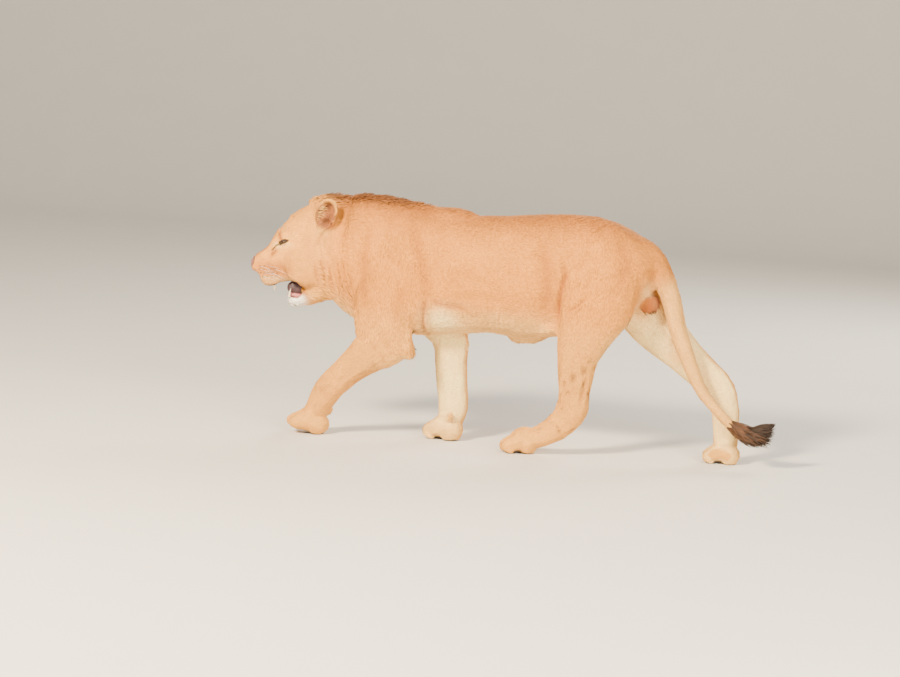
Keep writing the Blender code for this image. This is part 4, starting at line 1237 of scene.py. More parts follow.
class LION_OT_short_coat(bpy.types.Operator):
    """Lay the short coat over the skin in flat overlapping tufts"""

    bl_idname = "lion.short_coat"
    bl_label = "Short coat"

    def execute(self, context):
        settings = context.scene.lion_coat
        hair = hair_material("dry_tawny_guard_hair", (90, 300, 300), 0.16, 0.0, 0.78)
        corners, area, middles, _, bare = hair_ground()
        labels = SKIN["labels"][SKIN["triangles"][:, 0]]
        density = SKIN["rows"][3][SKIN["triangles"]].mean(1) * settings.density
        wanted = np.where(bare, 0, density * area)
        for number, (name, parts, side, axis, middle, span) in enumerate(COAT_PIECES):
            mine = np.isin(labels, [PART_ORDER.index(part) for part in parts])
            if side:
                mine &= middles[:, 1] * side > 0
            rng = np.random.default_rng(SEED + number)
            roots, owner, weights = spread_on(corners, np.where(mine, wanted, 0), rng)
            normals = unit(field_at(SKIN["normals"], owner, weights))
            count = len(roots)
            lies = field_at(SKIN["lie"], owner, weights)
            lies = swirled(lies, normals, roots, 0.045, 21, 0.35, rng)
            growth = (0.75 + 0.5 * rng.random(count)) * face_growth(roots)
            lengths = field_at(SKIN["rows"][1], owner, weights) * growth * settings.length
            widths = field_at(SKIN["rows"][2], owner, weights) * (0.8 + 0.4 * rng.random(count))
            lifts = lengths * (0.10 + 0.16 * rng.random(count))
            strand = 1 + 0.22 * (rng.random(count) - 0.5)
            colours = field_at(SKIN["colour"], owner, weights) * strand[:, None]
            colours = np.clip(colours, 0, 1)
            places = coat_patch(roots, axis, middle, span)
            mesh = tuft_mesh(name, roots, normals, lies, lengths, widths, lifts, colours, places)
            mesh.materials.append(hair)
            piece = put(name, mesh)
            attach(piece, "root")
        return {"FINISHED"}


# ---------------------------------------------------------------- longer locks
LOCK_RIDGE = 0.45  # how far a lock's ridge stands up, against its width


def lock_mesh(name, paths, widths, normals, colours, places):
    """Three-sided locks along paths, from a closed root to a point.

    paths is count x rings x 3, widths count x rings, colours count x rings x 3."""
    count, rings = paths.shape[:2]
    along = unit(np.gradient(paths, axis=1))
    out = laid_flat(normals[:, None], along)
    sides = np.cross(along, out)
    body = rings - 1
    size = body * 3 + 1
    points, tint, shading = np.empty((3, count, size, 3))
    for ring in range(body):
        half = widths[:, ring, None] / 2
        points[:, 3 * ring] = paths[:, ring] + half * sides[:, ring]
        points[:, 3 * ring + 1] = paths[:, ring] - half * sides[:, ring]
        points[:, 3 * ring + 2] = paths[:, ring] + 2 * LOCK_RIDGE * half * out[:, ring]
        shading[:, 3 * ring] = out[:, ring] + 0.8 * sides[:, ring]
        shading[:, 3 * ring + 1] = out[:, ring] - 0.8 * sides[:, ring]
        shading[:, 3 * ring + 2] = out[:, ring]
        tint[:, 3 * ring:3 * ring + 3] = colours[:, ring, None]
    points[:, -1] = paths[:, -1]
    points[:, :, 2] = np.maximum(points[:, :, 2], FLOOR_GAP)
    tint[:, -1] = colours[:, -1]
    shading[:, -1] = out[:, -1] + 0.5 * along[:, -1]
    faces = [(0, 2, 1)]
    for ring in range(body - 1):
        low, high = 3 * ring, 3 * ring + 3
        for a, b in ((0, 1), (1, 2), (2, 0)):
            faces += [(low + a, low + b, high + b), (low + a, high + b, high + a)]
    top = 3 * (body - 1)
    faces += [(top, top + 1, 3 * body), (top + 1, top + 2, 3 * body), (top + 2, top, 3 * body)]
    triangles = (np.arange(count)[:, None, None] * size + np.array(faces)).reshape(-1, 3)
    mesh = plain_mesh(name, points.reshape(-1, 3), triangles)
    set_tint(mesh, np.clip(tint, 0, 1).reshape(-1, 3))
    mesh.normals_split_custom_set_from_vertices(unit(shading).reshape(-1, 3))
    unroll = mesh.uv_layers.new(name="OFBake")
    share = np.arange(size) / (size - 1)
    offset = PATCH * np.stack((2 * share - 1, np.tile((-1, 1, 0), size)[:size]), 1)
    spots = np.clip(places[:, None] + offset, 0.0005, 0.9995).reshape(-1, 2)
    unroll.data.foreach_set("uv", spots[triangles.ravel()].astype(np.float32).ravel())
    return mesh


def lock_paths(roots, normals, lies, lengths, lifts, droop, curl, rng, rings=5):
    """Paths that rise from the skin, lie back along it and fall a little."""
    count = len(roots)
    steps = np.linspace(0, 1, rings)[None, :, None]
    sides = np.cross(lies, normals)
    phase = 2 * math.pi * rng.random((count, 1, 1))
    wave = curl * np.sin(2.2 * math.pi * steps + phase) * steps
    paths = roots[:, None] + lengths[:, None, None] * steps * lies[:, None]
    rise = lifts[:, None, None] * np.sin(steps * math.pi * 0.62) - 0.0015 * (1 - steps)
    paths = paths + rise * normals[:, None]
    paths = paths + lengths[:, None, None] * wave * sides[:, None]
    paths[:, :, 2] -= (droop[:, None, None] * steps ** 2)[:, :, 0]
    return paths


# A lock's width and its brightness, ring by ring from its root: the brightness is darker towards
# the root as painted shade deep in the coat
LOCK_TAPER = np.array((0.75, 1.0, 0.85, 0.5, 0.0))
LOCK_TONES = np.array((0.66, 0.86, 1.0, 1.10, 1.20))[None, :, None]
TUFT_TAPER = np.array((0.7, 1.0, 0.95, 0.75, 0.42, 0.0))
TUFT_TONES = np.array((0.7, 0.9, 1.0, 1.15, 1.3, 1.5))[None, :, None]

# Longer hair that has its own colour: the rest takes the coat's
LOCK_COLOURS = {"ear_hair": TAIL_TAN, "chin_hair": WHITE_HAIR}

# Longer hair: name, roots per square metre, length, width, lift, droop, curl
LOCKS = {
    "mane_crest": (38000, 0.036, 0.0050, 0.013, 0.003, 0.05),
    "throat_hair": (9000, 0.036, 0.0065, 0.006, 0.004, 0.05),
    "cheek_ruff": (13000, 0.028, 0.0046, 0.004, 0.004, 0.05),
    "elbow_hair": (9000, 0.030, 0.0060, 0.004, 0.003, 0.06),
    "thigh_hair": (12000, 0.030, 0.0055, 0.003, 0.003, 0.05),
    "ear_hair": (50000, 0.020, 0.0016, 0.005, 0.001, 0.08),
    "chin_hair": (60000, 0.016, 0.0034, 0.003, 0.005, 0.06),
}


def lock_share(name, points, normals):
    """Where each kind of longer hair grows, from 0 to 1."""
    x, y, z = points.T
    f, s, u = to_head(points).T
    if name == "mane_crest":
        return crest_share(points) * ramp(normals[:, 2], -0.2, 0.3)
    if name == "throat_hair":
        front = ramp(normals[:, 2], 0.1, -0.5) * ramp(x, -0.84, -0.78)
        front = front * (1 - ramp(x, -0.56, -0.48))
        return front * ramp(z, 0.40, 0.44) * (1 - ramp(z, 0.72, 0.80))
    if name == "cheek_ruff":
        gap, _ = line_gap(np.stack((f, np.abs(s), u), 1), (
            (-0.150, 0.092, 0.000), (-0.165, 0.100, -0.066), (-0.155, 0.090, -0.150),
            (-0.120, 0.060, -0.220)))
        return (1 - ramp(gap, 0.012, 0.030)) * (0.25 + 0.75 * (1 - ramp(u, -0.13, -0.05)))
    if name == "elbow_hair":
        elbow = np.where(y < 0, -0.385, -0.215)
        near = np.exp(-((x - elbow) / 0.035) ** 2 - ((z - 0.43) / 0.07) ** 2)
        return ramp(near * (y != 0), 0.2, 0.6)
    if name == "thigh_hair":
        back = ramp(x, 0.44, 0.50) * (1 - ramp(x, 0.62, 0.66)) * ramp(z, 0.46, 0.52)
        return back * (1 - ramp(z, 0.68, 0.74)) * ramp(-np.sign(y) * normals[:, 1], 0.0, 0.4)
    if name == "chin_hair":
        chin = ramp(f, -0.075, -0.055) * (1 - ramp(u, -0.232, -0.222)) * ramp(u, -0.31, -0.30)
        return chin * (f < 0.02)
    total = np.zeros(len(points))
    for side in (1, -1):
        across, out, up = to_ear(points, side).T
        inside = ramp(normals @ from_side(EAR_OPENING, side), 0.0, 0.4) * (np.sign(s) == side)
        front = np.exp(-((across - 0.036) / 0.011) ** 2) * np.exp(-(up / 0.045) ** 2)
        total += inside * front * (np.abs(out) < 0.05)
    return np.clip(1.2 * total, 0, 1)


class LION_OT_long_hair(bpy.types.Operator):
    """Grow the longer locks of the crest, throat, cheeks, elbows, thighs, ears and chin"""

    bl_idname = "lion.long_hair"
    bl_label = "Mane and long hair"

    def execute(self, context):
        hair = hair_material("coarse_mane_hair", (60, 260, 260), 0.22, 0.0, 0.66)
        corners, area, middles, face_normals, bare = hair_ground()
        ear_part = SKIN["parts"]["ear"][SKIN["triangles"]].mean(1)
        for number, (name, row) in enumerate(LOCKS.items()):
            density, length, width, lift, droop, curl = row
            share = lock_share(name, middles, face_normals)
            share = share * (ear_part > 0.5 if name == "ear_hair" else ear_part < 0.3)
            rng = np.random.default_rng(SEED + 100 + number)
            wanted = np.where(bare, 0, density * area * share)
            roots, owner, weights = spread_on(corners, wanted, rng)
            if len(roots) == 0:
                raise RuntimeError("no roots for " + name)
            count = len(roots)
            normals = unit(field_at(SKIN["normals"], owner, weights))
            lies = field_at(SKIN["lie"], owner, weights)
            if name == "ear_hair":
                for side in (1, -1):
                    mine = (to_head(roots)[:, 1] * side > 0)[:, None]
                    lies = np.where(mine, from_side(-EAR_ACROSS, side) + 0.3 * lies, lies)
            lies = swirled(lies, normals, roots, 0.03, 31, 0.5, rng)
            grow = (0.55 + 0.45 * share[owner]) * (0.75 + 0.5 * rng.random(count))
            lengths = length * grow
            lifts = lift * grow * (0.6 + 0.8 * rng.random(count))
            paths = lock_paths(roots, normals, lies, lengths, lifts, droop * grow, curl, rng)
            widths = width * (0.7 + 0.6 * rng.random((count, 1))) * LOCK_TAPER
            colours = field_at(SKIN["colour"], owner, weights)[:, None]
            strand = 1 + 0.35 * (rng.random((count, 1, 1)) - 0.5)
            if name in LOCK_COLOURS:
                colours = shade(LOCK_COLOURS[name])[None, None]
            places = coat_patch(roots, (1, 0, 0), (0.0, 0.0, 0.70), 2.2)
            mesh = lock_mesh(name, paths, widths, normals, colours * LOCK_TONES * strand, places)
            mesh.materials.append(hair)
            piece = put(name, mesh)
            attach(piece, "root")
        return {"FINISHED"}


class LION_OT_tail_tuft(bpy.types.Operator):
    """Grow the dark tuft at the tail's end"""

    bl_idname = "lion.tail_tuft"
    bl_label = "Tail tuft"

    def execute(self, context):
        settings = context.scene.lion_coat
        rng = np.random.default_rng(SEED + 300)
        count = settings.tuft_locks
        line = np.array(LIE["tail"][-2:] + tuple(row[:3] for row in TAIL_END))
        lengths = np.concatenate(((0,), np.cumsum(np.linalg.norm(np.diff(line, axis=0), axis=1))))
        low, high = (np.array(corner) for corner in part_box("tail_tuft"))
        where = lengths[-1] * rng.random(count) ** 0.8
        roots, ahead, back = (
            np.stack([np.interp(where + step, lengths, column) for column in line.T], 1)
            for step in (0, 0.01, -0.01))
        along = unit(ahead - back)
        first = unit(np.cross(along, (0.0, 1.0, 0.0)))
        second = np.cross(along, first)
        turn = 2 * math.pi * rng.random((count, 1))
        out = np.cos(turn) * first + np.sin(turn) * second
        share = (where / lengths[-1])[:, None]
        roots = roots + out * (0.018 * (1 - 0.6 * share))
        size = 0.055 + 0.055 * np.sin(math.pi * np.clip(share[:, 0] + 0.15, 0, 1))
        size = size * (0.8 + 0.4 * rng.random(count))
        swell = 0.024 * (0.4 + 0.9 * rng.random(count))
        swell = swell * np.sin(math.pi * np.clip(share[:, 0] + 0.2, 0, 1))
        way = along.copy()
        way[:, 2] += 0.10 + 0.35 * share[:, 0]
        way = unit(way)
        droop = np.full(count, 0.004)
        paths = lock_paths(roots, out, way, size, swell, droop, 0.05, rng, rings=6)
        middle = (low + high) / 2
        room = (high - low) / 2 - 0.003
        reach = np.abs(paths - middle) / room
        squeeze = np.maximum(reach.max(axis=(1, 2)), 1)[:, None, None]
        anchor = paths[:, :1]
        paths = anchor + (paths - anchor) / squeeze ** 1.6
        widths = 0.0085 * (0.7 + 0.6 * rng.random((count, 1))) * TUFT_TAPER
        dark = ramp(share[:, 0] + 0.25 * (rng.random(count) - 0.5), 0.05, 0.45)
        colours = tinted(shade(TUFT_BROWN), TUFT_DARK, dark)[:, None] * TUFT_TONES
        colours = colours * (1 + 0.4 * (rng.random((count, 1, 1)) - 0.5))
        places = coat_patch(roots, (1, 0, 0), (0.97, -0.036, 0.14), 0.24)
        mesh = lock_mesh("tail_tuft_hair", paths, widths, out, colours, places)
        mesh.materials.append(hair_material("dark_tuft_hair", (60, 240, 240), 0.25, 0.0, 0.6))
        piece = put("tail_tuft_hair", mesh)
        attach(piece, "root")
        return {"FINISHED"}


# ---------------------------------------------------------------- eyes, nose, mouth, whiskers
def tube_between(name, path, radii, sides=10, closed=False):
    """A smooth round tube along a path, closed at its ends or into a ring."""
    path = np.asarray(path, float)
    count = len(path)
    if closed:
        along = unit(np.roll(path, -1, 0) - np.roll(path, 1, 0))
    else:
        along = unit(np.gradient(path, axis=0))
    guide = np.array((0.1, 0.2, 0.97))
    first = unit(np.cross(along, guide))
    second = np.cross(along, first)
    angles = np.linspace(0, 2 * math.pi, sides, endpoint=False)
    rings = [path + np.asarray(radii)[:, None] * (math.cos(a) * first + math.sin(a) * second)
             for a in angles]
    points = np.stack(rings, 1).reshape(-1, 3)
    faces = []
    for ring in range(count if closed else count - 1):
        after = (ring + 1) % count
        for k in range(sides):
            n = (k + 1) % sides
            a, b = ring * sides + k, ring * sides + n
            c, d = after * sides + n, after * sides + k
            faces += [(a, b, c), (a, c, d)]
    if not closed:
        points = np.concatenate((points, path[:1], path[-1:]))
        for k in range(sides):
            n = (k + 1) % sides
            faces.append((n, k, len(points) - 2))
            faces.append(((count - 1) * sides + k, (count - 1) * sides + n, len(points) - 1))
    mesh = plain_mesh(name, points, faces)
    bm = bmesh.new()
    bm.from_mesh(mesh)
    bmesh.ops.recalc_face_normals(bm, faces=bm.faces)
    bm.to_mesh(mesh)
    bm.free()
    return mesh


def eyeball(name, centre, side):
    """A glass-bright eyeball: an amber iris, a round pupil and a dark rim under the lids."""
    gaze, outer, _ = eye_axes(side)
    bpy.ops.object.select_all(action="DESELECT")
    bpy.ops.mesh.primitive_uv_sphere_add(segments=64, ring_count=48, radius=EYE_RADIUS)
    ball = bpy.context.object
    ball.name = name
    points = mesh_points(ball.data)
    angle = np.arccos(np.clip(points[:, 2] / EYE_RADIUS, -1, 1))
    cornea = 1 + CORNEA_BULGE * (1 - ramp(angle, 0.30, 0.75))
    basis = np.array((outer, np.cross(gaze, outer), gaze))
    turned = (points * cornea[:, None]) @ basis + centre
    ball.data.vertices.foreach_set("co", turned.astype(np.float32).ravel())
    iris = 1 - ramp(angle, 0.60, IRIS_EDGE)
    colour = tinted(shade(EYE_WHITE), IRIS, iris)
    colour = tinted(colour, IRIS_RIM, iris * ramp(angle, 0.50, 0.62))
    colour = tinted(colour, IRIS_GLOW, iris * (1 - ramp(angle, 0.24, 0.42)) * 0.7)
    colour = tinted(colour, PUPIL, 1 - ramp(angle, 0.20, PUPIL_EDGE))
    set_tint(ball.data, colour)
    smooth(ball.data)
    ball.data.update()
    return ball


def lid_rim(name, centre, side):
    """The dark wet edge of the lids round one eye."""
    gaze, outer, up = eye_axes(side)
    path = []
    radii = []
    steps = 44
    for k in range(steps):
        turn = 2 * math.pi * k / steps
        across = EYE_OPEN * math.cos(turn) * 1.03
        upper = math.sin(turn) >= 0
        tall = float(lid_height(np.array(across), upper))
        way = gaze * math.cos(across) * math.cos(tall) + outer * math.sin(across) * math.cos(tall)
        way = way + up * math.sin(tall)
        path.append(centre + way * (EYE_RADIUS + 0.0012))
        radii.append(0.0016 + 0.0014 * upper)
    return put(name, tube_between(name, path, radii, sides=10, closed=True))


def eye_material():
    """Wet cornea over an amber iris: a sharp bright highlight."""
    material, tree, place = new_material("wet_amber_eye")
    fibres = add_node(tree, "ShaderNodeTexNoise", {
        "Vector": place, "Scale": 900.0, "Detail": 2.0})
    colour = add_node(tree, "ShaderNodeMix", {
        0: 0.25, 6: tint_colour(tree), 7: fibres.outputs["Color"]},
        data_type="RGBA", blend_type="OVERLAY")
    finish_material(tree, {"Base Color": colour.outputs[2], "Roughness": 0.18,
                           "Coat Weight": 1.0, "Coat Roughness": 0.03, "IOR": 1.376})
    return material


class LION_OT_eyes(bpy.types.Operator):
    """Set the eyeballs and the dark rims of their lids"""

    bl_idname = "lion.eyes"
    bl_label = "Eyes"

    def execute(self, context):
        wet = eye_material()
        rim_finish = wet_material("dark_eyelid_margin", DARK_RIM, "140C0A", 0.0016, 0.3, 0.35, 0.2)
        for word, centre, side in (("left", EYE_LEFT, 1), ("right", EYE_RIGHT, -1)):
            ball = eyeball("eyeball_" + word, centre, side)
            ball.data.materials.append(wet)
            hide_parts("eye_" + word)
            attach(ball, "root")
            rim = lid_rim("eyelid_rim_" + word, centre, side)
            rim.data.materials.append(rim_finish)
            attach(rim, "root")
        return {"FINISHED"}


def fine_copy(node, name, swell, grain):
    """A copy of a CAD node, swollen and remade in even faces of the given size."""
    piece = merged_copy(node, swell)
    piece.name = piece.data.name = name
    only(piece)
    piece.data.remesh_voxel_size = grain
    bpy.ops.object.voxel_remesh()
    return piece


class LION_OT_nose(bpy.types.Operator):
    """Shape the nose leather, with its nostrils and the groove under them"""

    bl_idname = "lion.nose"
    bl_label = "Nose"

    def execute(self, context):
        nose = fine_copy("nose", "nose_leather", 0.0010, 0.0011)
        mesh = nose.data
        spreader = spreader_of(mesh)
        points = spreader.soften(mesh_points(mesh), 14)
        set_points(mesh, points)
        normals = unit(spreader.soften(mesh_normals(mesh), 2))
        f, s, u = to_head(points).T
        folded = np.stack((f, np.abs(s), u), 1)
        pad = nose_pad(f, np.abs(s), u)
        hole, _ = line_gap(folded, ((0.127, 0.0085, -0.1040), (0.126, 0.0150, -0.0960),
                                    (0.120, 0.0235, -0.0940), (0.111, 0.0310, -0.0990)))
        pit = (1 - ramp(hole, 0.0010, 0.0046)) * ramp(normals @ FORWARD, -0.5, 0.2)
        split = np.exp(-(s / 0.0014) ** 2) * (1 - ramp(u, -0.092, -0.082))
        wing, _ = line_gap(
            folded, ((0.126, 0.011, -0.090), (0.120, 0.023, -0.086), (0.111, 0.031, -0.091)))
        move = 0.0016 * np.exp(-(wing / 0.005) ** 2) - 0.0065 * pit - 0.0022 * split
        points = points + normals * move[:, None]
        beyond = (1 - ramp(pad, -0.0030, 0.0008))[:, None]
        middle = from_head(np.array((0.098, 0, -0.094)))
        points = points + (middle - points) * beyond * 0.45 - 0.004 * FORWARD * beyond
        set_points(mesh, points)
        freckle = ramp(noise(points, 0.006, 3), 0.58, 0.74)
        colour = tinted(shade(context.scene.lion_head.nose_hex), NOSE_FRECKLE, 0.5 * freckle)
        colour = tinted(colour, NOSE_EDGE, 0.6 * (1 - ramp(pad, 0.0010, 0.0050)))
        # painted shade: the nostrils' pits and the groove between them are darkened where shade
        # falls
        colour = tinted(colour, NOSTRIL_SHADE, np.clip(1.5 * pit, 0, 1))
        colour = tinted(colour, NOSE_SPLIT_SHADE, 0.8 * split)
        set_tint(mesh, colour)
        smooth(mesh)
        # nose leather: bare pebbled skin, which gives a soft broken gloss
        material, tree, place = new_material("pebbled_nose_leather")
        finish_material(tree, {"Base Color": tint_colour(tree), "Roughness": 0.42,
                               "Coat Weight": 0.25, "Coat Roughness": 0.25,
                               "Normal": pebbled(tree, place, 700.0, 0.5, 0.0006)})
        mesh.materials.clear()
        mesh.materials.append(material)
        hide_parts("nose")
        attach(nose, "root")
        return {"FINISHED"}


def curved_tooth(name, node):
    """A canine from its solid's box: round, curved back, with a blunt worn tip."""
    low, high = (np.array(corner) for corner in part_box(node))
    upper = node.startswith("upper")
    middle = (low + high) / 2
    size = high - low
    steps = np.linspace(0, 1, 12)
    drop = size[2] * steps
    z = high[2] - drop if upper else low[2] + drop
    back = -0.18 * size[2] * steps ** 2
    path = np.stack((np.full_like(z, middle[0]), np.full_like(z, middle[1]), z), 1)
    path = path + FORWARD * (back + 0.09 * size[2])[:, None]
    radius = 0.40 * min(size[0], size[1]) * (1 - 0.86 * steps ** 1.7)
    return put(name, tube_between(name, path, radius, sides=16))


def ivory_material():
    """Tooth enamel: warm white clouded with yellower patches, glossy when wet."""
    material, tree, place = new_material("wet_tooth_enamel")
    colour = clouded(tree, place, "F4EBD2", "DCC79A", 160.0, 3.0)
    finish_material(tree, {"Base Color": colour, "Roughness": 0.25,
                           "Subsurface Weight": 0.1, "Subsurface Radius": (0.002, 0.001, 0.0006),
                           "Coat Weight": 0.4, "Coat Roughness": 0.08})
    return material


class LION_OT_mouth(bpy.types.Operator):
    """Make the tongue, the lining round it, dark with painted shade, and the canines"""

    bl_idname = "lion.mouth"
    bl_label = "Mouth"

    def execute(self, context):
        tongue = fine_copy("tongue", "tongue_flesh", 0.0, 0.0015)
        mesh = tongue.data
        spreader = spreader_of(mesh)
        points = spreader.soften(mesh_points(mesh), 10)
        s = to_head(points)[:, 1]
        points[:, 2] -= 0.0035 * np.exp(-(s / 0.004) ** 2)
        set_points(mesh, points)
        smooth(mesh)
        mesh.materials.clear()
        mesh.materials.append(wet_material(
            "wet_rough_tongue", context.scene.lion_head.tongue_hex, "A85458",
            0.0016, 0.8, 0.35, 0.3))
        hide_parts("tongue")
        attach(tongue, "root")
        bpy.ops.object.select_all(action="DESELECT")
        bpy.ops.mesh.primitive_uv_sphere_add(segments=40, ring_count=24, radius=1)
        gullet = context.object
        gullet.name = "mouth_lining"
        points = mesh_points(gullet.data) * LINING_RADII
        points = points + 0.0015 * (noise(points, 0.006, 41) - 0.5)[:, None] * unit(points)
        set_points(gullet.data, from_head(points + LINING))
        smooth(gullet.data)
        # the lining: wet gum, coloured dark as painted shade deep in the mouth
        gullet.data.materials.append(wet_material(
            "wet_gum_painted_shade", "4A2530", "1C0B10", 0.004, 0.6, 0.3, 0.4))
        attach(gullet, "root")
        enamel = ivory_material()
        for node in sorted(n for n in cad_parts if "canine" in n):
            tooth = curved_tooth(node + "_tooth", node)
            tooth.data.materials.append(enamel)
            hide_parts(node)
            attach(tooth, "root")
        return {"FINISHED"}


def whisker(root, way, back, length, bend, rings, radius, sunk):
    """One whisker that tapers from its sunk root and bends back along its length."""
    steps = np.linspace(0, 1, rings)[:, None]
    path = root + length * (way * steps + bend * back * steps ** 2) - sunk * way
    return put("whisker", tube_between("whisker", path, radius * (1 - 0.85 * steps[:, 0]), sides=5))


class LION_OT_whiskers(bpy.types.Operator):
    """Grow the white whiskers from the spots on the lips, and the few over the eyes"""

    bl_idname = "lion.whiskers"
    bl_label = "Whiskers"

    def execute(self, context):
        rng = np.random.default_rng(SEED + 500)
        skin = bpy.data.objects["skin"]
        pieces = []
        for side in (1, -1):
            for number, (front, up) in enumerate(whisker_places()):
                if number % 2:
                    continue
                start = from_head((front, side * 0.10, up))
                hit, root, _, _ = skin.ray_cast(Vector(start), Vector(-side * LEFTWARD))
                if not hit:
                    continue
                length = context.scene.lion_head.whisker_length * (0.6 + 0.5 * rng.random())
                way = unit(np.array((-0.55, 0.75, -0.10 + 0.25 * rng.random())))
                way = from_side(way, side)
                back = from_side(np.array((-0.5, 0, -0.45)), side)
                pieces.append(whisker(np.array(root), way, back, length, 0.45, 7, 0.0008, 0.002))
            for k in range(3):
                root = from_head((0.012 - 0.014 * k, side * (0.045 + 0.006 * k), 0.036))
                way = from_side(unit(np.array((0.35, 0.35, 0.9))), side)
                back = from_side(np.array((-1.0, 0.2, 0)), side)
                pieces.append(whisker(root, way, back, 0.045, 0.6, 6, 0.00045, 0.0))
        only(*pieces)
        bpy.ops.object.join()
        whiskers = bpy.context.object
        whiskers.name = whiskers.data.name = "whiskers"
        # whiskers: stiff smooth keratin, which shows as a clean pale line
        material, tree, place = new_material("white_whisker_keratin")
        colour = clouded(tree, place, "F7F3EA", "D8CDBA", 300.0)
        finish_material(tree, {"Base Color": colour, "Roughness": 0.4})
        whiskers.data.materials.clear()
        whiskers.data.materials.append(material)
        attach(whiskers, "root")
        return {"FINISHED"}


# ---------------------------------------------------------------- stage
LENS = 105  # millimetres, before a sensor 36 wide
CAMERA_PLACE = (2.26655, -10.15184, 1.75)
CAMERA_TURN = math.radians(14)
CAMERA_DIP = math.radians(7.24)
CAMERA_ROLL = math.radians(2.5)

# The backdrop: half its width, where it starts and where it turns up, the bend and its height
BACKDROP_HALF = 24.0
BACKDROP_FRONT = -16.0
BACKDROP_BACK = 9.0
BACKDROP_BEND = 4.0
BACKDROP_STEPS = 24
BACKDROP_TOP = 16.0

# Soft round lights: name, place, width, power against the key light's, colour
LIGHTS = (
    ("key", (-3.0, -6.2, 4.8), 1.6, 1.0, "FFE9C8"),
    ("fill", (4.5, -5.5, 2.6), 4.0, 0.42, "FFF3E2"),
    ("back", (2.5, 5.0, 4.0), 3.0, 0.20, "FFF6E8"),
)
LIGHT_AIM = (0, 0, 0.5)


def area_light(name, place, size, power, colour):
    data = bpy.data.lights.new(name, "AREA")
    data.shape = "DISK"
    data.size = size
    data.energy = power
    data.color = linear(colour)[:3]
    obj = put(name, data)
    obj.location = place
    obj.rotation_euler = (Vector(LIGHT_AIM) - Vector(place)).to_track_quat("-Z", "Y").to_euler()


class LION_OT_stage(bpy.types.Operator):
    """Add the camera, the plain pale floor and the soft lights"""

    bl_idname = "lion.stage"
    bl_label = "Stage"

    def execute(self, context):
        settings = context.scene.lion_stage
        camera = put("camera", bpy.data.cameras.new("camera"))
        camera.data.lens = LENS
        camera.data.sensor_width = 36
        camera.data.clip_end = 60
        forward = Vector((-math.sin(CAMERA_TURN) * math.cos(CAMERA_DIP),
                          math.cos(CAMERA_TURN) * math.cos(CAMERA_DIP), -math.sin(CAMERA_DIP)))
        level = Vector((math.cos(CAMERA_TURN), math.sin(CAMERA_TURN), 0))
        upright = level.cross(forward)
        right = math.cos(CAMERA_ROLL) * level + math.sin(CAMERA_ROLL) * upright
        up = -math.sin(CAMERA_ROLL) * level + math.cos(CAMERA_ROLL) * upright
        turn = Matrix((right, up, -forward)).transposed().to_4x4()
        camera.matrix_world = Matrix.Translation(CAMERA_PLACE) @ turn
        context.scene.camera = camera

        rows = [(BACKDROP_FRONT, 0.0), (BACKDROP_BACK, 0.0)]
        for k in range(1, BACKDROP_STEPS + 1):
            turn = math.pi / 2 * k / BACKDROP_STEPS
            rows.append((BACKDROP_BACK + BACKDROP_BEND * math.sin(turn),
                         BACKDROP_BEND - BACKDROP_BEND * math.cos(turn)))
        rows.append((BACKDROP_BACK + BACKDROP_BEND, BACKDROP_TOP))
        points = [(x, y, z) for y, z in rows for x in (-BACKDROP_HALF, BACKDROP_HALF)]
        faces = []
        for k in range(len(rows) - 1):
            faces += [(2 * k, 2 * k + 1, 2 * k + 3), (2 * k, 2 * k + 3, 2 * k + 2)]
        floor = put("floor", plain_mesh("floor", points, faces))
        # backdrop paper: matt, so that it shows shadows and no gloss
        material, tree, place = new_material("matt_studio_paper")
        colour = clouded(tree, place, "E6E2DA", "E1DDD5", 3.0)
        finish_material(tree, {"Base Color": colour, "Roughness": 0.9, "Specular IOR Level": 0.1})
        floor.data.materials.append(material)

        for name, spot, size, share, code in LIGHTS:
            area_light(name, spot, size, settings.key_power * share, code)
        world = bpy.data.worlds.new("studio")
        world.use_nodes = True
        sky = world.node_tree.nodes["Background"].inputs
        sky["Color"].default_value = linear("F1EEE8")
        sky["Strength"].default_value = settings.sky
        context.scene.world = world
        return {"FINISHED"}


# ---------------------------------------------------------------- the add-on
class LionCoatSettings(bpy.types.PropertyGroup):
    """Sizes of the coat"""

    length: bpy.props.FloatProperty(
        name="Length", description="Length of the short coat against a real one",
        default=1.0, min=0.5, max=1.5)
    density: bpy.props.FloatProperty(
        name="Density", description="Tufts of the short coat against the usual number",
        default=1.0, min=0.1, max=1.1)
    tuft_locks: bpy.props.IntProperty(
        name="Tuft locks", description="Locks in the tail's tuft", default=1100, min=200, max=3000)
    coat_slot: bpy.props.StringProperty(
        name="Coat slot", description="Material slot of the short coat", default="coat")
    chin_slot: bpy.props.StringProperty(
        name="Chin slot", description="Material slot of the chin", default="chin")
    tuft_slot: bpy.props.StringProperty(
        name="Tuft slot", description="Material slot of the tail's tuft", default="tuft")


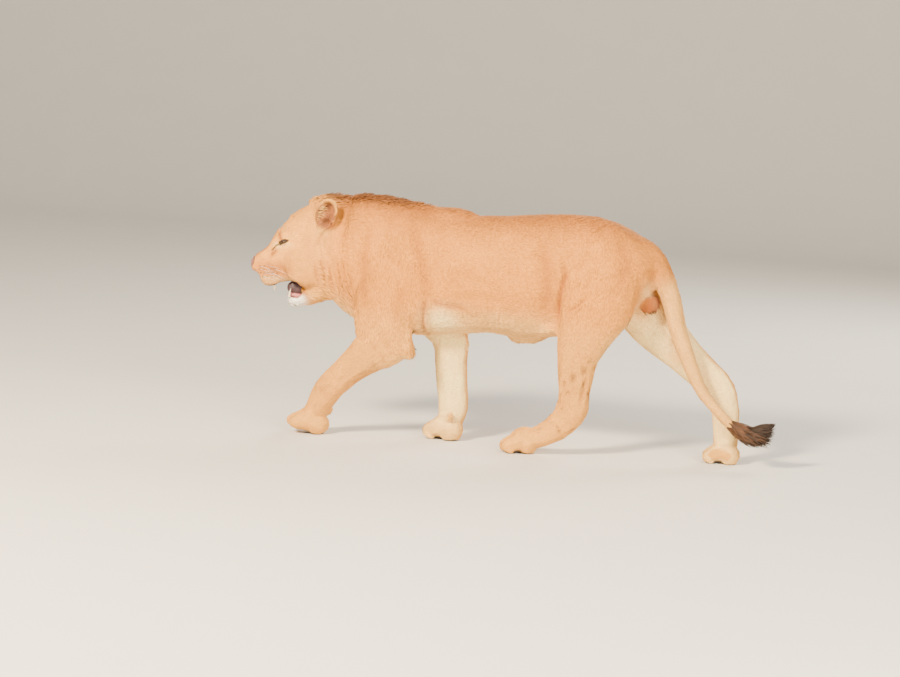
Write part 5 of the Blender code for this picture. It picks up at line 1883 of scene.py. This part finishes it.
class LionHeadSettings(bpy.types.PropertyGroup):
    """Colours and sizes of the head's pieces"""

    whisker_length: bpy.props.FloatProperty(
        name="Whiskers", description="Length of a whisker", default=0.085, min=0.0, max=0.15,
        unit="LENGTH")
    nose_hex: bpy.props.StringProperty(
        name="Nose colour", description="Colour of the nose leather, sRGB hex", default="A36A5C")
    tongue_hex: bpy.props.StringProperty(
        name="Tongue colour", description="Colour of the tongue, sRGB hex", default="D98E8C")


class LionStageSettings(bpy.types.PropertyGroup):
    """Light on the stage"""

    key_power: bpy.props.FloatProperty(
        name="Key light", description="Power of the key light", default=1900.0, min=0.0,
        unit="POWER")
    sky: bpy.props.FloatProperty(
        name="Sky", description="Strength of the even light", default=0.62, min=0.0)


OPERATORS = (LION_OT_stage, LION_OT_skin, LION_OT_eyes, LION_OT_nose, LION_OT_mouth,
             LION_OT_whiskers, LION_OT_short_coat, LION_OT_long_hair, LION_OT_tail_tuft)


class LION_PT_panel(bpy.types.Panel):
    """Lists the lion's pieces and their settings"""

    bl_idname = "LION_PT_panel"
    bl_label = "Lion"
    bl_space_type = "VIEW_3D"
    bl_region_type = "UI"
    bl_category = "Lion"

    def draw(self, context):
        scene = context.scene
        for group in (scene.lion_coat, scene.lion_head, scene.lion_stage):
            for key in group.__annotations__:
                self.layout.prop(group, key)
        for operator in OPERATORS:
            self.layout.operator(operator.bl_idname)


GROUPS = {"lion_coat": LionCoatSettings, "lion_head": LionHeadSettings,
          "lion_stage": LionStageSettings}


def register():
    for group in GROUPS.values():
        bpy.utils.register_class(group)
    for key, group in GROUPS.items():
        setattr(bpy.types.Scene, key, bpy.props.PointerProperty(type=group))
    for operator in OPERATORS:
        bpy.utils.register_class(operator)
    bpy.utils.register_class(LION_PT_panel)


def unregister():
    bpy.utils.unregister_class(LION_PT_panel)
    for operator in reversed(OPERATORS):
        bpy.utils.unregister_class(operator)
    for key, group in reversed(list(GROUPS.items())):
        delattr(bpy.types.Scene, key)
        bpy.utils.unregister_class(group)


def main():
    register()
    bpy.ops.lion.stage()
    bpy.ops.lion.skin()
    bpy.ops.lion.eyes()
    bpy.ops.lion.nose()
    bpy.ops.lion.mouth()
    bpy.ops.lion.whiskers()
    bpy.ops.lion.short_coat()
    bpy.ops.lion.long_hair()
    bpy.ops.lion.tail_tuft()


if __name__ == "__main__":
    main()
